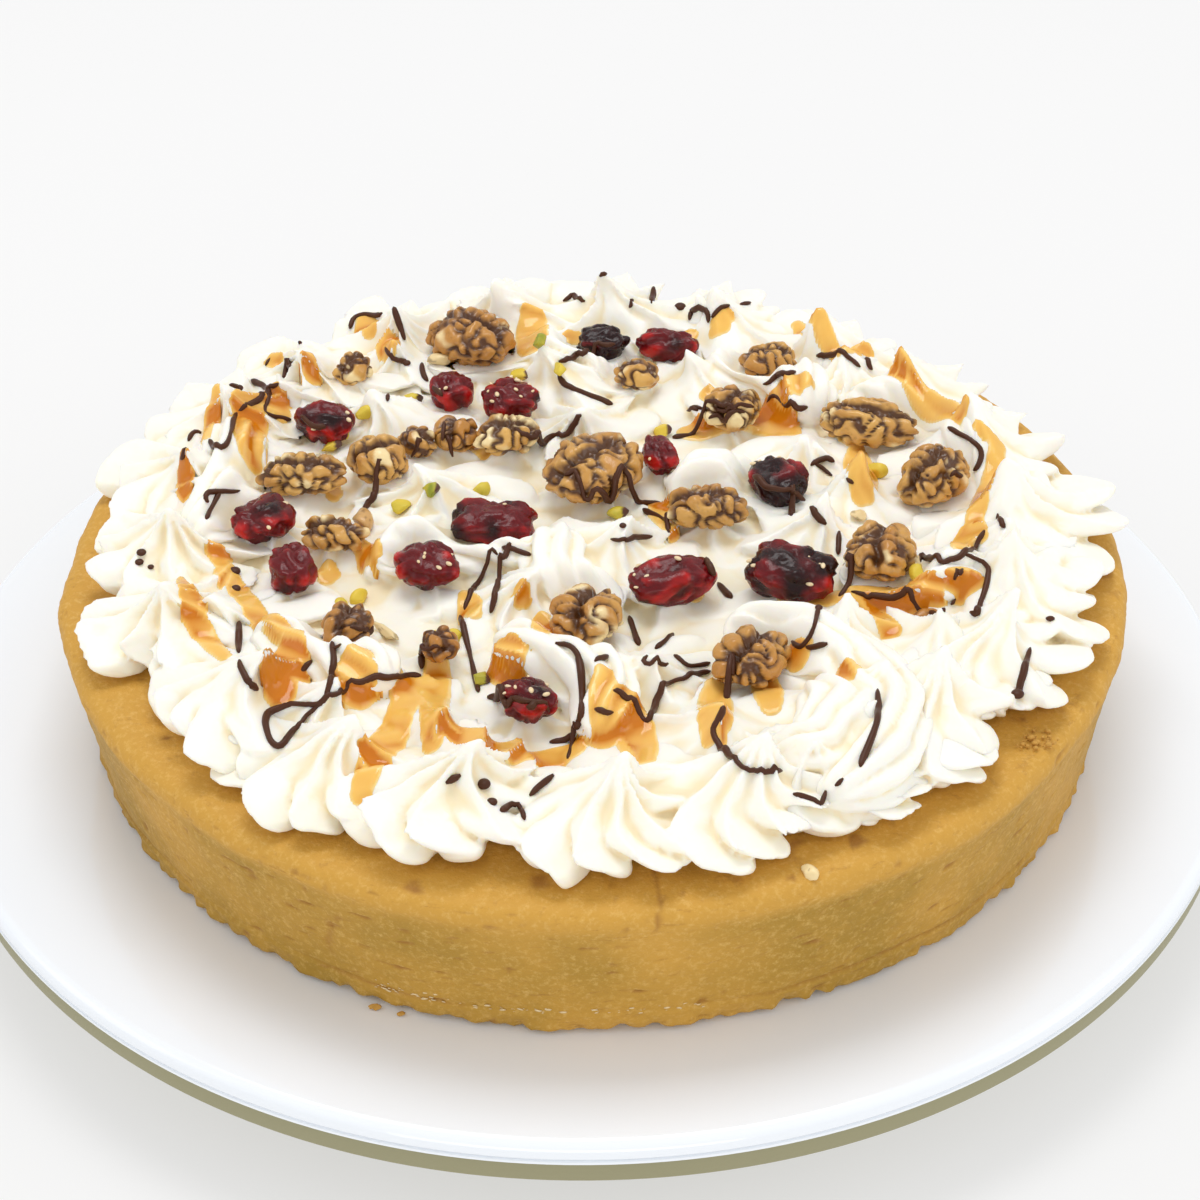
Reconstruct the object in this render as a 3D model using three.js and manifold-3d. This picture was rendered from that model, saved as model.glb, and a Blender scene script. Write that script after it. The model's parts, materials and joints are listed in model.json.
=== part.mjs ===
// Sour cream torte on a low round cake stand. Millimetres, +Z up.
// Origin: the stand's axis, on the surface it stands on. Front is -Y.
//
// A shortcrust case, full to its rim, is piped all over with drops of cream: a ring of them whose lobes
// spread over the rim, and more inside it. Walnut pieces, dried cranberries and pistachio nibs lie
// on the cream. The case stands a little off the middle of a round white plate, which is seated on a grey
// rim piece with a recessed foot.

import * as THREE from "three";
import { mergeVertices } from "three/addons/utils/BufferGeometryUtils.js";
import Module from "manifold-3d";

const wasm = await Module();
wasm.setup();

// ---------------------------------------------------------------- driving dimensions
const STAND = {
  radius: 163.5,
  height: 30, // floor to the plate's top
  plateThickness: 4.6,
  edgeRound: 3,
  bandHeight: 7.4, // the grey rim's upright side, which shows under the plate
  bandInset: 0.7,
  bandChamfer: 1.5,
  footRadius: 112,
  footFlare: 5,
  sides: 40,
};
const GAP = 0.3; // kept between touching pieces
const TORTE = { x: 2, y: -5.5 }; // where the torte stands on the plate
const CRUST = {
  topRadius: 130,
  baseRadius: 123.6,
  height: 39.5,
  topRound: 4,
  waver: 0.9, // how far the hand-pressed side wanders in and out
  sides: 56,
};
const CREAM = {
  bedRadius: 101, // the layer under the piping
  bedHeight: 8,
};

// Piped cream, in the torte's own plan: x to the right, y to the back, both from its middle.
// Every drop is piped with a star nozzle and ends in a tip, drawn over the way the hand moved on.
const DROP = {
  groove: 0.22, // depth of the nozzle's grooves, as a share of the radius
  twist: 0.5, // radians, from foot to tip
  lean: 7.5,
};
// Outlines run from the foot to the tip: how far out and how high, as shares of a radius and height.
// Border drops stand on a ring, their lobes spread over the crust's rim.
const RING = {
  from: 102.5, // distance of a drop's middle from the torte's
  radius: 17.5, height: 19, lobes: 8,
  outline: [[0, 0], [0.9, 0], [1, 0.25], [0.52, 0.58], [0, 1]],
};
// Each border drop: [degrees round the torte from +X, size].
const BORDER = [
  [181, 1.08], [198, 1.05], [217, 1.17], [235, 1.02], [252, 1.12], [270, 1.06], [287, 1.12], [302, 0.95],
  [315, 1.1], [331, 1.05], [345, 1.12], [1, 1.15], [17, 1.15], [34, 1.12], [51, 1.15], [68, 1.12],
  [85, 1.15], [101, 1.12], [118, 1.15], [134, 1.12], [150, 1.15], [166, 1.12],
];
// Fuller drops of the same kind stand close together inside the ring, where no topping lies.
const INSIDE = {
  radius: 20.5, height: 17, lobes: 5,
  outline: [[0, 0], [0.92, 0], [0.97, 0.4], [0.5, 0.72], [0, 1]],
};
// Each inside drop: [x, y, size].
const INSIDE_DROPS = [
  [22, -80, 1.05], [-38, 16, 0.9], [-86, -32, 1], [-64, -70, 1], [-38, -76, 0.9], [9, -57, 0.85],
  [60, -70, 1.1], [57, -44, 0.8], [80, -50, 0.95], [94, -14, 0.95], [-19, -26, 0.8], [3, -8, 0.9],
  [53, -3, 0.75], [66, 12, 0.7], [-94, 16, 0.9], [-87, 36, 0.85], [-50, 82, 0.85], [-8, 72, 0.8],
  [-53, 52, 0.85], [-1, 48, 0.85], [30, 70, 0.8], [55, 33, 0.85], [68, 64, 0.95], [92, 38, 0.95],
  [-45, -3, 0.8], [-80, 62, 0.9], [42, -90, 0.95], [-26, 98, 0.8], [34, 96, 0.8],
];

// Toppings, in the torte's own plan: x to the right, y to the back, both from its middle. Length, width
// and height in mm, turn in degrees from +X.
const WALNUTS = {
  half_middle: { x: 0, y: 21, length: 29, width: 22, height: 15, turn: 40 },
  half_back: { x: -32, y: 83, length: 26, width: 22, height: 15, turn: -30 },
  chip_back_left: { x: -63, y: 68, length: 13, width: 10, height: 9, turn: 40 },
  pair_dark: { x: -35, y: 40, length: 14, width: 12, height: 10, turn: 80 },
  pair_light: { x: -22, y: 37, length: 19, width: 13, height: 11, turn: 5 },
  half_left: { x: -73, y: 20, length: 24, width: 15, height: 11, turn: 0 },
  round_left: { x: -54, y: 25, length: 17, width: 16, height: 13, turn: 20 },
  corner_left: { x: -44.5, y: 36, length: 12, width: 10, height: 9, turn: -40 },
  wedge_left: { x: -63, y: -5, length: 19, width: 11, height: 9, turn: -15 },
  round_back: { x: 12, y: 68, length: 13, width: 12, height: 9, turn: 0 },
  half_glazed: { x: 47, y: 74, length: 17, width: 14, height: 10, turn: 10 },
  chunk_right: { x: 36, y: 50, length: 16, width: 15, height: 12, turn: 60 },
  half_right: { x: 70, y: 41, length: 28, width: 18, height: 13, turn: -20 },
  half_upright: { x: 84, y: 15, length: 24, width: 16, height: 17, turn: 50 },
  three_lobes: { x: 28, y: 5, length: 22, width: 13, height: 12, turn: 0 },
  half_front_right: { x: 68, y: -17, length: 22, width: 19, height: 15, turn: 75 },
  half_pale: { x: -2, y: -40, length: 22, width: 17, height: 13, turn: 70 },
  half_front: { x: 35, y: -57, length: 23, width: 19, height: 13, turn: 60 },
  dark_front_left: { x: -57, y: -43, length: 16, width: 13, height: 11, turn: 80 },
  dark_nib: { x: -35.5, y: -50, length: 12, width: 10, height: 9, turn: 110 },
};
const CRANBERRIES = {
  black_back: { x: 2, y: 85, length: 15, width: 12, height: 9, turn: 0 },
  long_back: { x: 19.5, y: 83, length: 18, width: 11, height: 9, turn: -15 },
  bright: { x: -37, y: 61, length: 13, width: 13, height: 9, turn: 30 },
  sugared: { x: -21.5, y: 54, length: 16, width: 15, height: 11, turn: -40 },
  left_back: { x: -69, y: 44, length: 17, width: 13, height: 10, turn: -20 },
  left_round: { x: -80.5, y: 1, length: 17, width: 15, height: 11, turn: 40 },
  left_low: { x: -72, y: -19.5, length: 16, width: 11, height: 10, turn: 100 },
  square: { x: -24, y: -0.5, length: 21, width: 14, height: 10, turn: -5 },
  round_middle: { x: -40, y: -20, length: 16, width: 14, height: 11, turn: -30 },
  behind_half: { x: 16.5, y: 30, length: 15, width: 9, height: 9, turn: 110 },
  dark_right: { x: 46, y: 17, length: 18, width: 15, height: 11, turn: 110 },
  long_middle: { x: 18, y: -25, length: 22, width: 14, height: 11, turn: 15 },
  large_dark: { x: 46, y: -24, length: 22, width: 18, height: 13, turn: -20 },
  front: { x: -15, y: -71, length: 14, width: 12, height: 11, turn: -50 },
};
// Pistachio nibs: [x, y], all of one size, fused to the cream.
const NIB_SIZE = 5;
const PISTACHIOS = [
  [-47, 59], [-14, 70], [-19, 67], [-9, 65], [-48, 9], [-40, 10], [-28, 16], [-59, 48],
  [18, 48], [6, 8], [-37, -41], [-26, -58], [-60, -29], [65, 23],
];

// ---------------------------------------------------------------- helpers
// A repeatable number from 0 to 1 for each seed.
function chance(seed) {
  const wave = Math.sin(seed * 12.9898 + 4.1414) * 43758.5453;
  return wave - Math.floor(wave);
}

// A number from -size to size.
const jitter = (seed, size) => (2 * chance(seed) - 1) * size;

function solidOf(geometry) {
  const bare = geometry.clone();
  bare.deleteAttribute("normal");
  bare.deleteAttribute("uv");
  const merged = mergeVertices(bare, 1e-3);
  return new wasm.Manifold(
    new wasm.Mesh({
      numProp: 3,
      vertProperties: merged.attributes.position.array,
      triVerts: new Uint32Array(merged.index.array),
    }),
  );
}

function geometryOf(solid) {
  const { numProp, numVert, vertProperties, triVerts } = solid.getMesh();
  const position = new Float32Array(numVert * 3);
  for (let i = 0; i < numVert; i++) {
    position.set(vertProperties.subarray(i * numProp, i * numProp + 3), i * 3);
  }
  const geometry = new THREE.BufferGeometry();
  geometry.setAttribute("position", new THREE.BufferAttribute(position, 3));
  geometry.setIndex(new THREE.BufferAttribute(triVerts, 1));
  geometry.computeVertexNormals();
  return geometry;
}

// Moves every vertex of a geometry by a rule that changes the vector it is given.
function reshape(geometry, rule) {
  const position = geometry.attributes.position;
  const v = new THREE.Vector3();
  for (let i = 0; i < position.count; i++) {
    v.fromBufferAttribute(position, i);
    rule(v);
    position.setXYZ(i, v.x, v.y, v.z);
  }
  return geometry;
}

// Turns [radius, height] points into a solid of revolution about +Z.
function turned(profile, sides) {
  const points = profile.map(([radius, height]) => new THREE.Vector2(radius, height));
  return new THREE.LatheGeometry(points, sides).rotateX(Math.PI / 2);
}

// ---------------------------------------------------------------- stand
const white = new THREE.MeshStandardMaterial({ color: 0xeef0f4, roughness: 0.15, metalness: 0 });
const olive = new THREE.MeshStandardMaterial({ color: 0x98967f, roughness: 0.45, metalness: 0 });

function roundedCorner(radius, height, round, steps) {
  return Array.from({ length: steps + 1 }, (_, i) => {
    const angle = (i / steps) * (Math.PI / 2);
    return [radius - round + round * Math.cos(angle), height - round + round * Math.sin(angle)];
  });
}

const seat = STAND.height - STAND.plateThickness; // underside of the plate
const rimBottom = seat - GAP - STAND.bandHeight;

function plate() {
  const { radius, height, edgeRound, sides } = STAND;
  const corner = roundedCorner(radius, height, edgeRound, 2);
  return turned([[0, seat], [radius - 1, seat], ...corner, [0, height]], sides);
}

function plateRim() {
  const { radius, bandInset, bandChamfer, sides } = STAND;
  const edge = radius - bandInset;
  const profile = [
    [0, rimBottom],
    [edge - bandChamfer, rimBottom],
    [edge, rimBottom + bandChamfer],
    [edge, seat - GAP],
    [0, seat - GAP],
  ];
  return turned(profile, sides);
}

function foot() {
  const { footRadius, footFlare, sides } = STAND;
  const top = rimBottom - GAP;
  return turned([[0, 0], [footRadius, 0], [footRadius - footFlare, top], [0, top]], sides);
}

// ---------------------------------------------------------------- crust
const pastry = new THREE.MeshStandardMaterial({ color: 0xc9974f, roughness: 0.85, metalness: 0 });

// How far the side stands out at an angle round the case: slow waves and one blunt bulge at the left.
function crustWaver(angle) {
  const waves = Math.sin(3 * angle + 0.6) + 0.6 * Math.sin(7 * angle + 2) + 0.4 * Math.sin(13 * angle);
  const bulgeAt = THREE.MathUtils.degToRad(188);
  const away = Math.atan2(Math.sin(angle - bulgeAt), Math.cos(angle - bulgeAt));
  return CRUST.waver * waves * 0.6 + 2.2 * Math.exp(-((away / 0.09) ** 2));
}

function crust() {
  const { topRadius, baseRadius, height, topRound } = CRUST;
  const taper = (topRadius - baseRadius) / height;
  const side = (z) => baseRadius + taper * z;
  const profile = [
    [0, 0],
    [baseRadius - 0.8, 0],
    [side(2) + 0.8, 2],
    [side(6) + 0.5, 6],
    [side(7.5) - 0.3, 7.5],
    [side(height - topRound - 2), height - topRound - 2],
    ...roundedCorner(topRadius, height, topRound, 2),
    [topRadius - 14, height],
    [0, height],
  ];
  return reshape(turned(profile, CRUST.sides), (v) => {
    const radius = Math.hypot(v.x, v.y);
    if (radius < 1) return;
    const angle = Math.atan2(v.y, v.x);
    const grow = crustWaver(angle) * THREE.MathUtils.smoothstep(radius, topRadius - 30, baseRadius);
    const lift = v.z / height;
    v.x *= 1 + (grow * (0.35 + 0.65 * lift)) / radius;
    v.y *= 1 + (grow * (0.35 + 0.65 * lift)) / radius;
  });
}

// ---------------------------------------------------------------- piped cream
const cream = new THREE.MeshStandardMaterial({ color: 0xfdf6e3, roughness: 0.5, metalness: 0 });

// One drop from a star nozzle, standing on z = 0: lobes that bulge out at the foot, then twisting ridges
// that sweep up to a tip drawn over towards +X.
function starDrop({ radius, height, lobes, outline }, seed) {
  const { groove, twist, lean } = DROP;
  const profile = outline.map(([out, up]) => [radius * out, height * up]);
  const phase = chance(seed) * 2 * Math.PI;
  const hand = chance(seed + 0.5) > 0.25 ? -1 : 1;
  return reshape(turned(profile, 2 * lobes), (v) => {
    const r = Math.hypot(v.x, v.y);
    const t = v.z / height;
    const angle = Math.atan2(v.y, v.x);
    const lobe = Math.abs(Math.cos((lobes * (angle + Math.PI / 2)) / 2));
    const stretch = 1 + groove * (2 * lobe - 1);
    const swept = angle + phase + hand * twist * t;
    v.x = r * stretch * Math.cos(swept) + lean * t * t;
    v.y = r * stretch * Math.sin(swept);
  });
}

function pipedCream() {
  const { bedRadius, bedHeight } = CREAM;
  const bed = [[0, 0], [bedRadius, 0], [bedRadius - 5, bedHeight], [0, bedHeight]];
  const parts = [solidOf(turned(bed, 36))];
  BORDER.forEach(([degrees, size], i) => {
    const angle = THREE.MathUtils.degToRad(degrees);
    const drop = starDrop(RING, i + 1).scale(size, size, size * (1 + jitter(i + 49, 0.06)));
    drop.rotateZ(angle + Math.PI / 2 + jitter(i + 80, 0.35));
    parts.push(solidOf(drop.translate(RING.from * Math.cos(angle), RING.from * Math.sin(angle), 0)));
  });
  INSIDE_DROPS.forEach(([x, y, size], i) => {
    const drop = starDrop(INSIDE, i + 200).scale(size, size, 1 + jitter(i + 150, 0.1));
    drop.rotateZ(Math.atan2(y, x) + Math.PI / 2 + jitter(i + 180, 1));
    parts.push(solidOf(drop.translate(x, y, 0)));
  });
  return wasm.Manifold.union(parts);
}

// ---------------------------------------------------------------- toppings
const walnut = new THREE.MeshStandardMaterial({ color: 0xa06f35, roughness: 0.6, metalness: 0 });
const cranberry = new THREE.MeshStandardMaterial({ color: 0x6b1420, roughness: 0.35, metalness: 0 });

// A walnut piece: a domed half with a furrow along its length and knobbly convolutions.
function walnutPiece({ length, width, height, turn }, seed) {
  const shape = new THREE.SphereGeometry(1, 8, 5).rotateX(Math.PI / 2);
  reshape(shape, (v) => {
    const furrow = v.z > 0 ? 0.28 * Math.exp(-((v.y / 0.3) ** 2)) * v.z : 0;
    const knobs = 0.1 * Math.sin(5 * v.x + 9 * chance(seed)) * Math.cos(5 * v.y + 9 * chance(seed + 1));
    const swell = 1 + knobs - furrow;
    v.set((v.x * swell * length) / 2, (v.y * swell * width) / 2, (v.z * swell * height) / 2);
  });
  return shape.rotateZ(THREE.MathUtils.degToRad(turn));
}

// A dried cranberry: a wrinkled, slightly collapsed berry.
function driedBerry({ length, width, height, turn }, seed) {
  const shape = new THREE.SphereGeometry(1, 8, 4).rotateX(Math.PI / 2);
  reshape(shape, (v) => {
    const wrinkle = 0.09 * Math.sin(4 * v.x + 9 * chance(seed)) + 0.07 * Math.sin(5 * v.y + 9 * chance(seed + 1));
    const swell = 1 + wrinkle;
    v.set((v.x * swell * length) / 2, (v.y * swell * width) / 2, (v.z * swell * height) / 2);
  });
  return shape.rotateZ(THREE.MathUtils.degToRad(turn));
}

// ---------------------------------------------------------------- assembly
const group = new THREE.Group();

function addPiece(parent, name, geometry, material) {
  const piece = new THREE.Mesh(geometry, material);
  piece.name = name;
  parent.add(piece);
  return piece;
}

addPiece(group, "stand_plate", plate(), white);
addPiece(group, "stand_rim", plateRim(), olive);
addPiece(group, "stand_foot", foot(), olive);

const torte = new THREE.Group();
torte.position.set(TORTE.x, TORTE.y, STAND.height + GAP);
group.add(torte);
addPiece(torte, "crust", crust(), pastry);

const onCrust = CRUST.height + GAP;
const piped = pipedCream().translate([0, 0, onCrust]);
const surface = new THREE.Mesh(geometryOf(piped), cream);
const caster = new THREE.Raycaster();
const down = new THREE.Vector3(0, 0, -1);

// The cream's mean height under a small round footprint.
function creamHeight(x, y, reach) {
  const around = [[0, 0], [reach, 0], [-reach, 0], [0, reach], [0, -reach]];
  const heights = around.map(([dx, dy]) => {
    caster.set(new THREE.Vector3(x + dx, y + dy, 200), down);
    return caster.intersectObject(surface)[0].point.z;
  });
  return heights.reduce((sum, z) => sum + z, 0) / heights.length;
}

function nib([x, y], seed) {
  const shape = new THREE.OctahedronGeometry(NIB_SIZE / 2).scale(1.2, 0.9, 0.8);
  shape.rotateZ(chance(seed) * Math.PI);
  return solidOf(shape).translate([x, y, creamHeight(x, y, 1) + 0.6]);
}

// Toppings are pressed into the cream. Each leaves a pocket there, a hair wider than itself, and a later
// topping is cut clear of the earlier ones that it would run into.
const SINK = 0.16; // share of a topping's height that the cream hides
const pockets = [];

function pressIn(geometry, { x, y, width, height }) {
  const place = [x, y, creamHeight(x, y, width * 0.3) + height * (0.5 - SINK)];
  const whole = solidOf(geometry);
  const clear = pockets.reduce((left, pocket) => left.subtract(pocket), whole.translate(place));
  pockets.push(whole.scale(1 + (2.2 * GAP) / height).translate(place));
  return largestOf(clear);
}

// The geometry of a solid's largest body, without the slivers that a cut can leave.
function largestOf(solid) {
  const bodies = solid.decompose().sort((a, b) => b.volume() - a.volume());
  return geometryOf(bodies[0]);
}

const toppings = [];
let seed = 300;
for (const [kinds, label, shapeOf, material] of [
  [WALNUTS, "walnut_", walnutPiece, walnut],
  [CRANBERRIES, "cranberry_", driedBerry, cranberry],
]) {
  for (const [name, at] of Object.entries(kinds)) {
    seed += 3;
    toppings.push([label + name, pressIn(shapeOf(at, seed), at), material]);
  }
}
const dressed = wasm.Manifold.union([piped, ...PISTACHIOS.map(nib)]);
const pocketed = dressed.subtract(wasm.Manifold.union(pockets));
addPiece(torte, "piped_cream", largestOf(pocketed), cream);
for (const [name, geometry, material] of toppings) {
  addPiece(torte, name, geometry, material);
}

export default group;
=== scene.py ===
"""Sour cream torte on its low round cake stand, dressed for the picture.

Everything is worked out in millimetres in the torte's own frame (x to the right, y to the back, z up from
the torte's underside) and set down on the plate in metres.
"""

import itertools
import json
import math

import bmesh
import bpy
import numpy as np
from mathutils import Matrix, Vector
from mathutils.bvhtree import BVHTree

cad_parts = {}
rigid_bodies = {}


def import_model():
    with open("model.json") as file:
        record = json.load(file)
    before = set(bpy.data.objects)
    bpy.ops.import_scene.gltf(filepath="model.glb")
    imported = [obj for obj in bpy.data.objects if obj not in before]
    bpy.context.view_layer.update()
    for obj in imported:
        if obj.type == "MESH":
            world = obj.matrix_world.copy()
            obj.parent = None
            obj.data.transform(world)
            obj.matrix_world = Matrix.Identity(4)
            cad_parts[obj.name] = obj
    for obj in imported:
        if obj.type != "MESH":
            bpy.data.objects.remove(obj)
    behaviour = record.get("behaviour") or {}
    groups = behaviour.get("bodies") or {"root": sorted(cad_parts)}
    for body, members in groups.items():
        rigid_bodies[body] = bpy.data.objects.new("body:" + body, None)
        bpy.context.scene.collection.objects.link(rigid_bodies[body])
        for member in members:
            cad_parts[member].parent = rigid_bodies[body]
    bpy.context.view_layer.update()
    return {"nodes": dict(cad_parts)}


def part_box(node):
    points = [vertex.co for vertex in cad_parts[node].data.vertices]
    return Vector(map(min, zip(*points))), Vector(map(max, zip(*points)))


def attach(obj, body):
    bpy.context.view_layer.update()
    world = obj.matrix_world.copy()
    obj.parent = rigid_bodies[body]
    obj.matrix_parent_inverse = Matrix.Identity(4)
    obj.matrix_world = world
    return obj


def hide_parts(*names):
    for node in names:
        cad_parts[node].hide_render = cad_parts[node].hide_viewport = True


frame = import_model()
scene = bpy.context.scene

# ------------------------------------------------------------------------------------------- camera
# The torte is seen from 0.72 m away and well above it, so that its top opens out but its side still
# shows. The lens is a short telephoto one, and the shot is turned by a hair.
MM = 0.001
TORTE_AT = np.array([2.0, -5.5, 30.3])  # the middle of the torte's underside, from the stand's foot
CAMERA_BACK = 570.6  # from the torte's middle, along the table
CAMERA_UP = 442.5  # above the torte's underside
CAMERA_DOWN = 36.07  # degrees below level
CAMERA_TURN = -0.14  # degrees, to the right
CAMERA_ROLL = -0.29
LENS = 85.0

camera = bpy.data.objects.new("camera", bpy.data.cameras.new("camera"))
camera.data.lens = LENS
camera.data.sensor_width = 36.0
camera.data.clip_end = 20.0
eye = np.array([0.0, -CAMERA_BACK, CAMERA_UP])
camera.matrix_world = (
    Matrix.Translation(Vector((eye + TORTE_AT) * MM))
    @ Matrix.Rotation(math.radians(CAMERA_TURN), 4, "Z")
    @ Matrix.Rotation(math.radians(90 - CAMERA_DOWN), 4, "X")
    @ Matrix.Rotation(math.radians(CAMERA_ROLL), 4, "Z")
)
scene.collection.objects.link(camera)
scene.camera = camera
scene.view_settings.view_transform = "Standard"
scene.view_settings.look = "None"

# -------------------------------------------------------------------------------- table and light
# A matt white table in a white tent: soft light comes from all round, most of it from above and
# behind, so the only shade lies close under the stand and beside the crust.
TABLE_SIZE = 6.0
TABLE_WHITE = (0.36, 0.36, 0.36, 1)
TABLE_GLOW = 0.535  # the sheet is lit from below too, which clears the shade under the stand
TENT_LIGHT = 0.72


def new_material(name):
    """A new material, with its nodes, its links and its main shader."""
    material = bpy.data.materials.new(name)
    material.use_nodes = True
    nodes = material.node_tree.nodes
    return material, nodes, material.node_tree.links, nodes["Principled BSDF"]


def set_shader(**values):
    """Sets inputs of the main shader in hand by name."""
    for key, value in values.items():
        shader.inputs[key.replace("_", " ")].default_value = value


def mesh_object(name, verts, faces, smooth=True):
    """A piece in the scene from points in millimetres and faces of three or four corners."""
    mesh = bpy.data.meshes.new(name)
    faces = np.asarray(faces, np.int32)
    corners = faces.shape[1]
    mesh.vertices.add(len(verts))
    mesh.vertices.foreach_set("co", (np.asarray(verts, float) * MM).ravel())
    mesh.loops.add(faces.size)
    mesh.loops.foreach_set("vertex_index", faces.ravel())
    mesh.polygons.add(len(faces))
    mesh.polygons.foreach_set("loop_start", np.arange(0, faces.size, corners, dtype=np.int32))
    mesh.polygons.foreach_set("use_smooth", np.full(len(faces), smooth))
    mesh.update(calc_edges=True)
    mesh.validate()
    piece = bpy.data.objects.new(name, mesh)
    scene.collection.objects.link(piece)
    return piece


half = TABLE_SIZE / MM / 2
table = mesh_object("table", [(-half, -half, 0), (half, -half, 0), (half, half, 0), (-half, half, 0)],
                    [(0, 1, 2, 3)], smooth=False)
table_white, nodes, links, shader = new_material("table_white")
set_shader(Base_Color=TABLE_WHITE, Emission_Color=(1, 1, 1, 1), Emission_Strength=TABLE_GLOW, Roughness=0.9,
           Specular_IOR_Level=0.1)
table.data.materials.append(table_white)

world = bpy.data.worlds.new("tent")
world.use_nodes = True
world.node_tree.nodes["Background"].inputs["Color"].default_value = (1.0, 1.0, 1.0, 1)
world.node_tree.nodes["Background"].inputs["Strength"].default_value = TENT_LIGHT
scene.world = world


def soft_box(name, at, aim, size, power):
    """A white rectangular lamp at a place, turned towards what it lights."""
    lamp = bpy.data.lights.new(name, "AREA")
    lamp.shape = "RECTANGLE"
    lamp.size, lamp.size_y = size
    lamp.energy = power
    box = bpy.data.objects.new(name, lamp)
    box.location = at
    box.rotation_euler = (Vector(aim) - Vector(at)).to_track_quat("-Z", "Y").to_euler()
    scene.collection.objects.link(box)


soft_box("top_light", at=(-0.05, 0.35, 1.25), aim=(0, 0, 0.05), size=(0.7, 0.5), power=6.0)
soft_box("left_light", at=(-1.2, -0.2, 0.7), aim=(0, 0, 0.05), size=(0.7, 0.7), power=1.3)
soft_box("right_light", at=(1.2, -0.3, 0.6), aim=(0, 0, 0.05), size=(0.7, 0.7), power=2.4)
soft_box("front_light", at=(-0.1, -1.7, 0.45), aim=(0, -0.1, 0.0), size=(1.6, 0.5), power=5.4)

# ------------------------------------------------------------------------------------------ stand
# A round glazed plate with a softly rounded edge lies on a rim piece, which stands on a recessed foot.
# The rim piece and the foot are coloured dark olive, which is painted shade for the rim's side that faces
# away from the light. The three are turned parts, with a thin bright line of glaze where the plate sits.
PLATE = {"radius": 163.5, "top": 30.0, "thick": 4.6, "round": 3.0}
RIM = {"inset": 0.7, "height": 7.4, "chamfer": 1.5}
FOOT = {"radius": 112.0, "flare": 5.0}
SEAM = 0.3  # the gap between two stand parts
HUB = 60.0  # within this radius a turned part is closed flat and never seen
TURNED_COLUMNS = 240
SHARP = 40  # degrees: a steeper fold of the stand shows as an edge
GLAZE_WHITE = (0.87, 0.905, 0.95, 1)
# painted shade: the dark olive stands in for the shade on the rim piece's side, which faces away from the
# light
BAND_OLIVE_SHADE = (0.285, 0.265, 0.15, 1)


def skin(rings):
    """Points and triangles of a closed skin over rings of points, with a fan on the first and the last."""
    rows, columns, _ = rings.shape
    verts = np.concatenate([rings.reshape(-1, 3), rings[:1].mean(1), rings[-1:].mean(1)])
    row = np.arange(rows - 1)[:, None] * columns
    here = np.arange(columns)
    after = (here + 1) % columns
    corner = [(row + side).ravel() for side in (here, after, columns + after, columns + here)]
    first, last = rows * columns, rows * columns + 1
    end = (rows - 1) * columns
    return verts, np.concatenate([
        np.stack([corner[0], corner[1], corner[2]], 1),
        np.stack([corner[0], corner[2], corner[3]], 1),
        np.stack([np.full(columns, first), after, here], 1),
        np.stack([np.full(columns, last), end + here, end + after], 1),
    ])


def turned(profile, columns):
    """Rings of a turned part from its [radius, height] outline, from the lowest point to the highest."""
    angle = np.linspace(0, 2 * np.pi, columns, endpoint=False)
    radius, height = np.array(profile, float).T
    return np.stack([
        radius[:, None] * np.cos(angle),
        radius[:, None] * np.sin(angle),
        np.repeat(height[:, None], columns, 1),
    ], -1)


def rounded(radius, height, size, start, end, steps):
    """Points of a rounded corner from one angle to another, in degrees, inside [radius, height]."""
    turn = np.radians(np.linspace(start, end, steps))
    return [[radius - size + size * math.cos(a), height - size + size * math.sin(a)] for a in turn]


def stand_piece(name, node, profile, material):
    """One turned part of the stand. Its outline is given from the stand's own foot."""
    piece = mesh_object(name, *skin(turned(profile, TURNED_COLUMNS)))
    piece.data.materials.append(material)
    split = piece.modifiers.new("edges", "EDGE_SPLIT")
    split.split_angle = math.radians(SHARP)
    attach(piece, "root")
    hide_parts(node)


glaze, nodes, links, shader = new_material("white_glaze")
set_shader(Base_Color=GLAZE_WHITE, Roughness=0.16, Coat_Weight=0.5, Coat_Roughness=0.05)
cloud = nodes.new("ShaderNodeTexNoise")
cloud.inputs["Scale"].default_value = 60
shade = nodes.new("ShaderNodeMapRange")
shade.inputs["To Min"].default_value = 0.13
shade.inputs["To Max"].default_value = 0.2
links.new(cloud.outputs["Fac"], shade.inputs["Value"])
links.new(shade.outputs["Result"], shader.inputs["Roughness"])

# The rim piece and the foot get the painted shade of the rim's side: a dark olive, lightly specked.
band, nodes, links, shader = new_material("olive_band_shade")
set_shader(Roughness=0.42)
speck = nodes.new("ShaderNodeTexNoise")
speck.inputs["Scale"].default_value = 900
mix = nodes.new("ShaderNodeMix")
mix.data_type = "RGBA"
mix.inputs["A"].default_value = BAND_OLIVE_SHADE
mix.inputs["B"].default_value = [c * 1.12 for c in BAND_OLIVE_SHADE[:3]] + [1]
links.new(speck.outputs["Fac"], mix.inputs["Factor"])
links.new(mix.outputs["Result"], shader.inputs["Base Color"])

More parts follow.
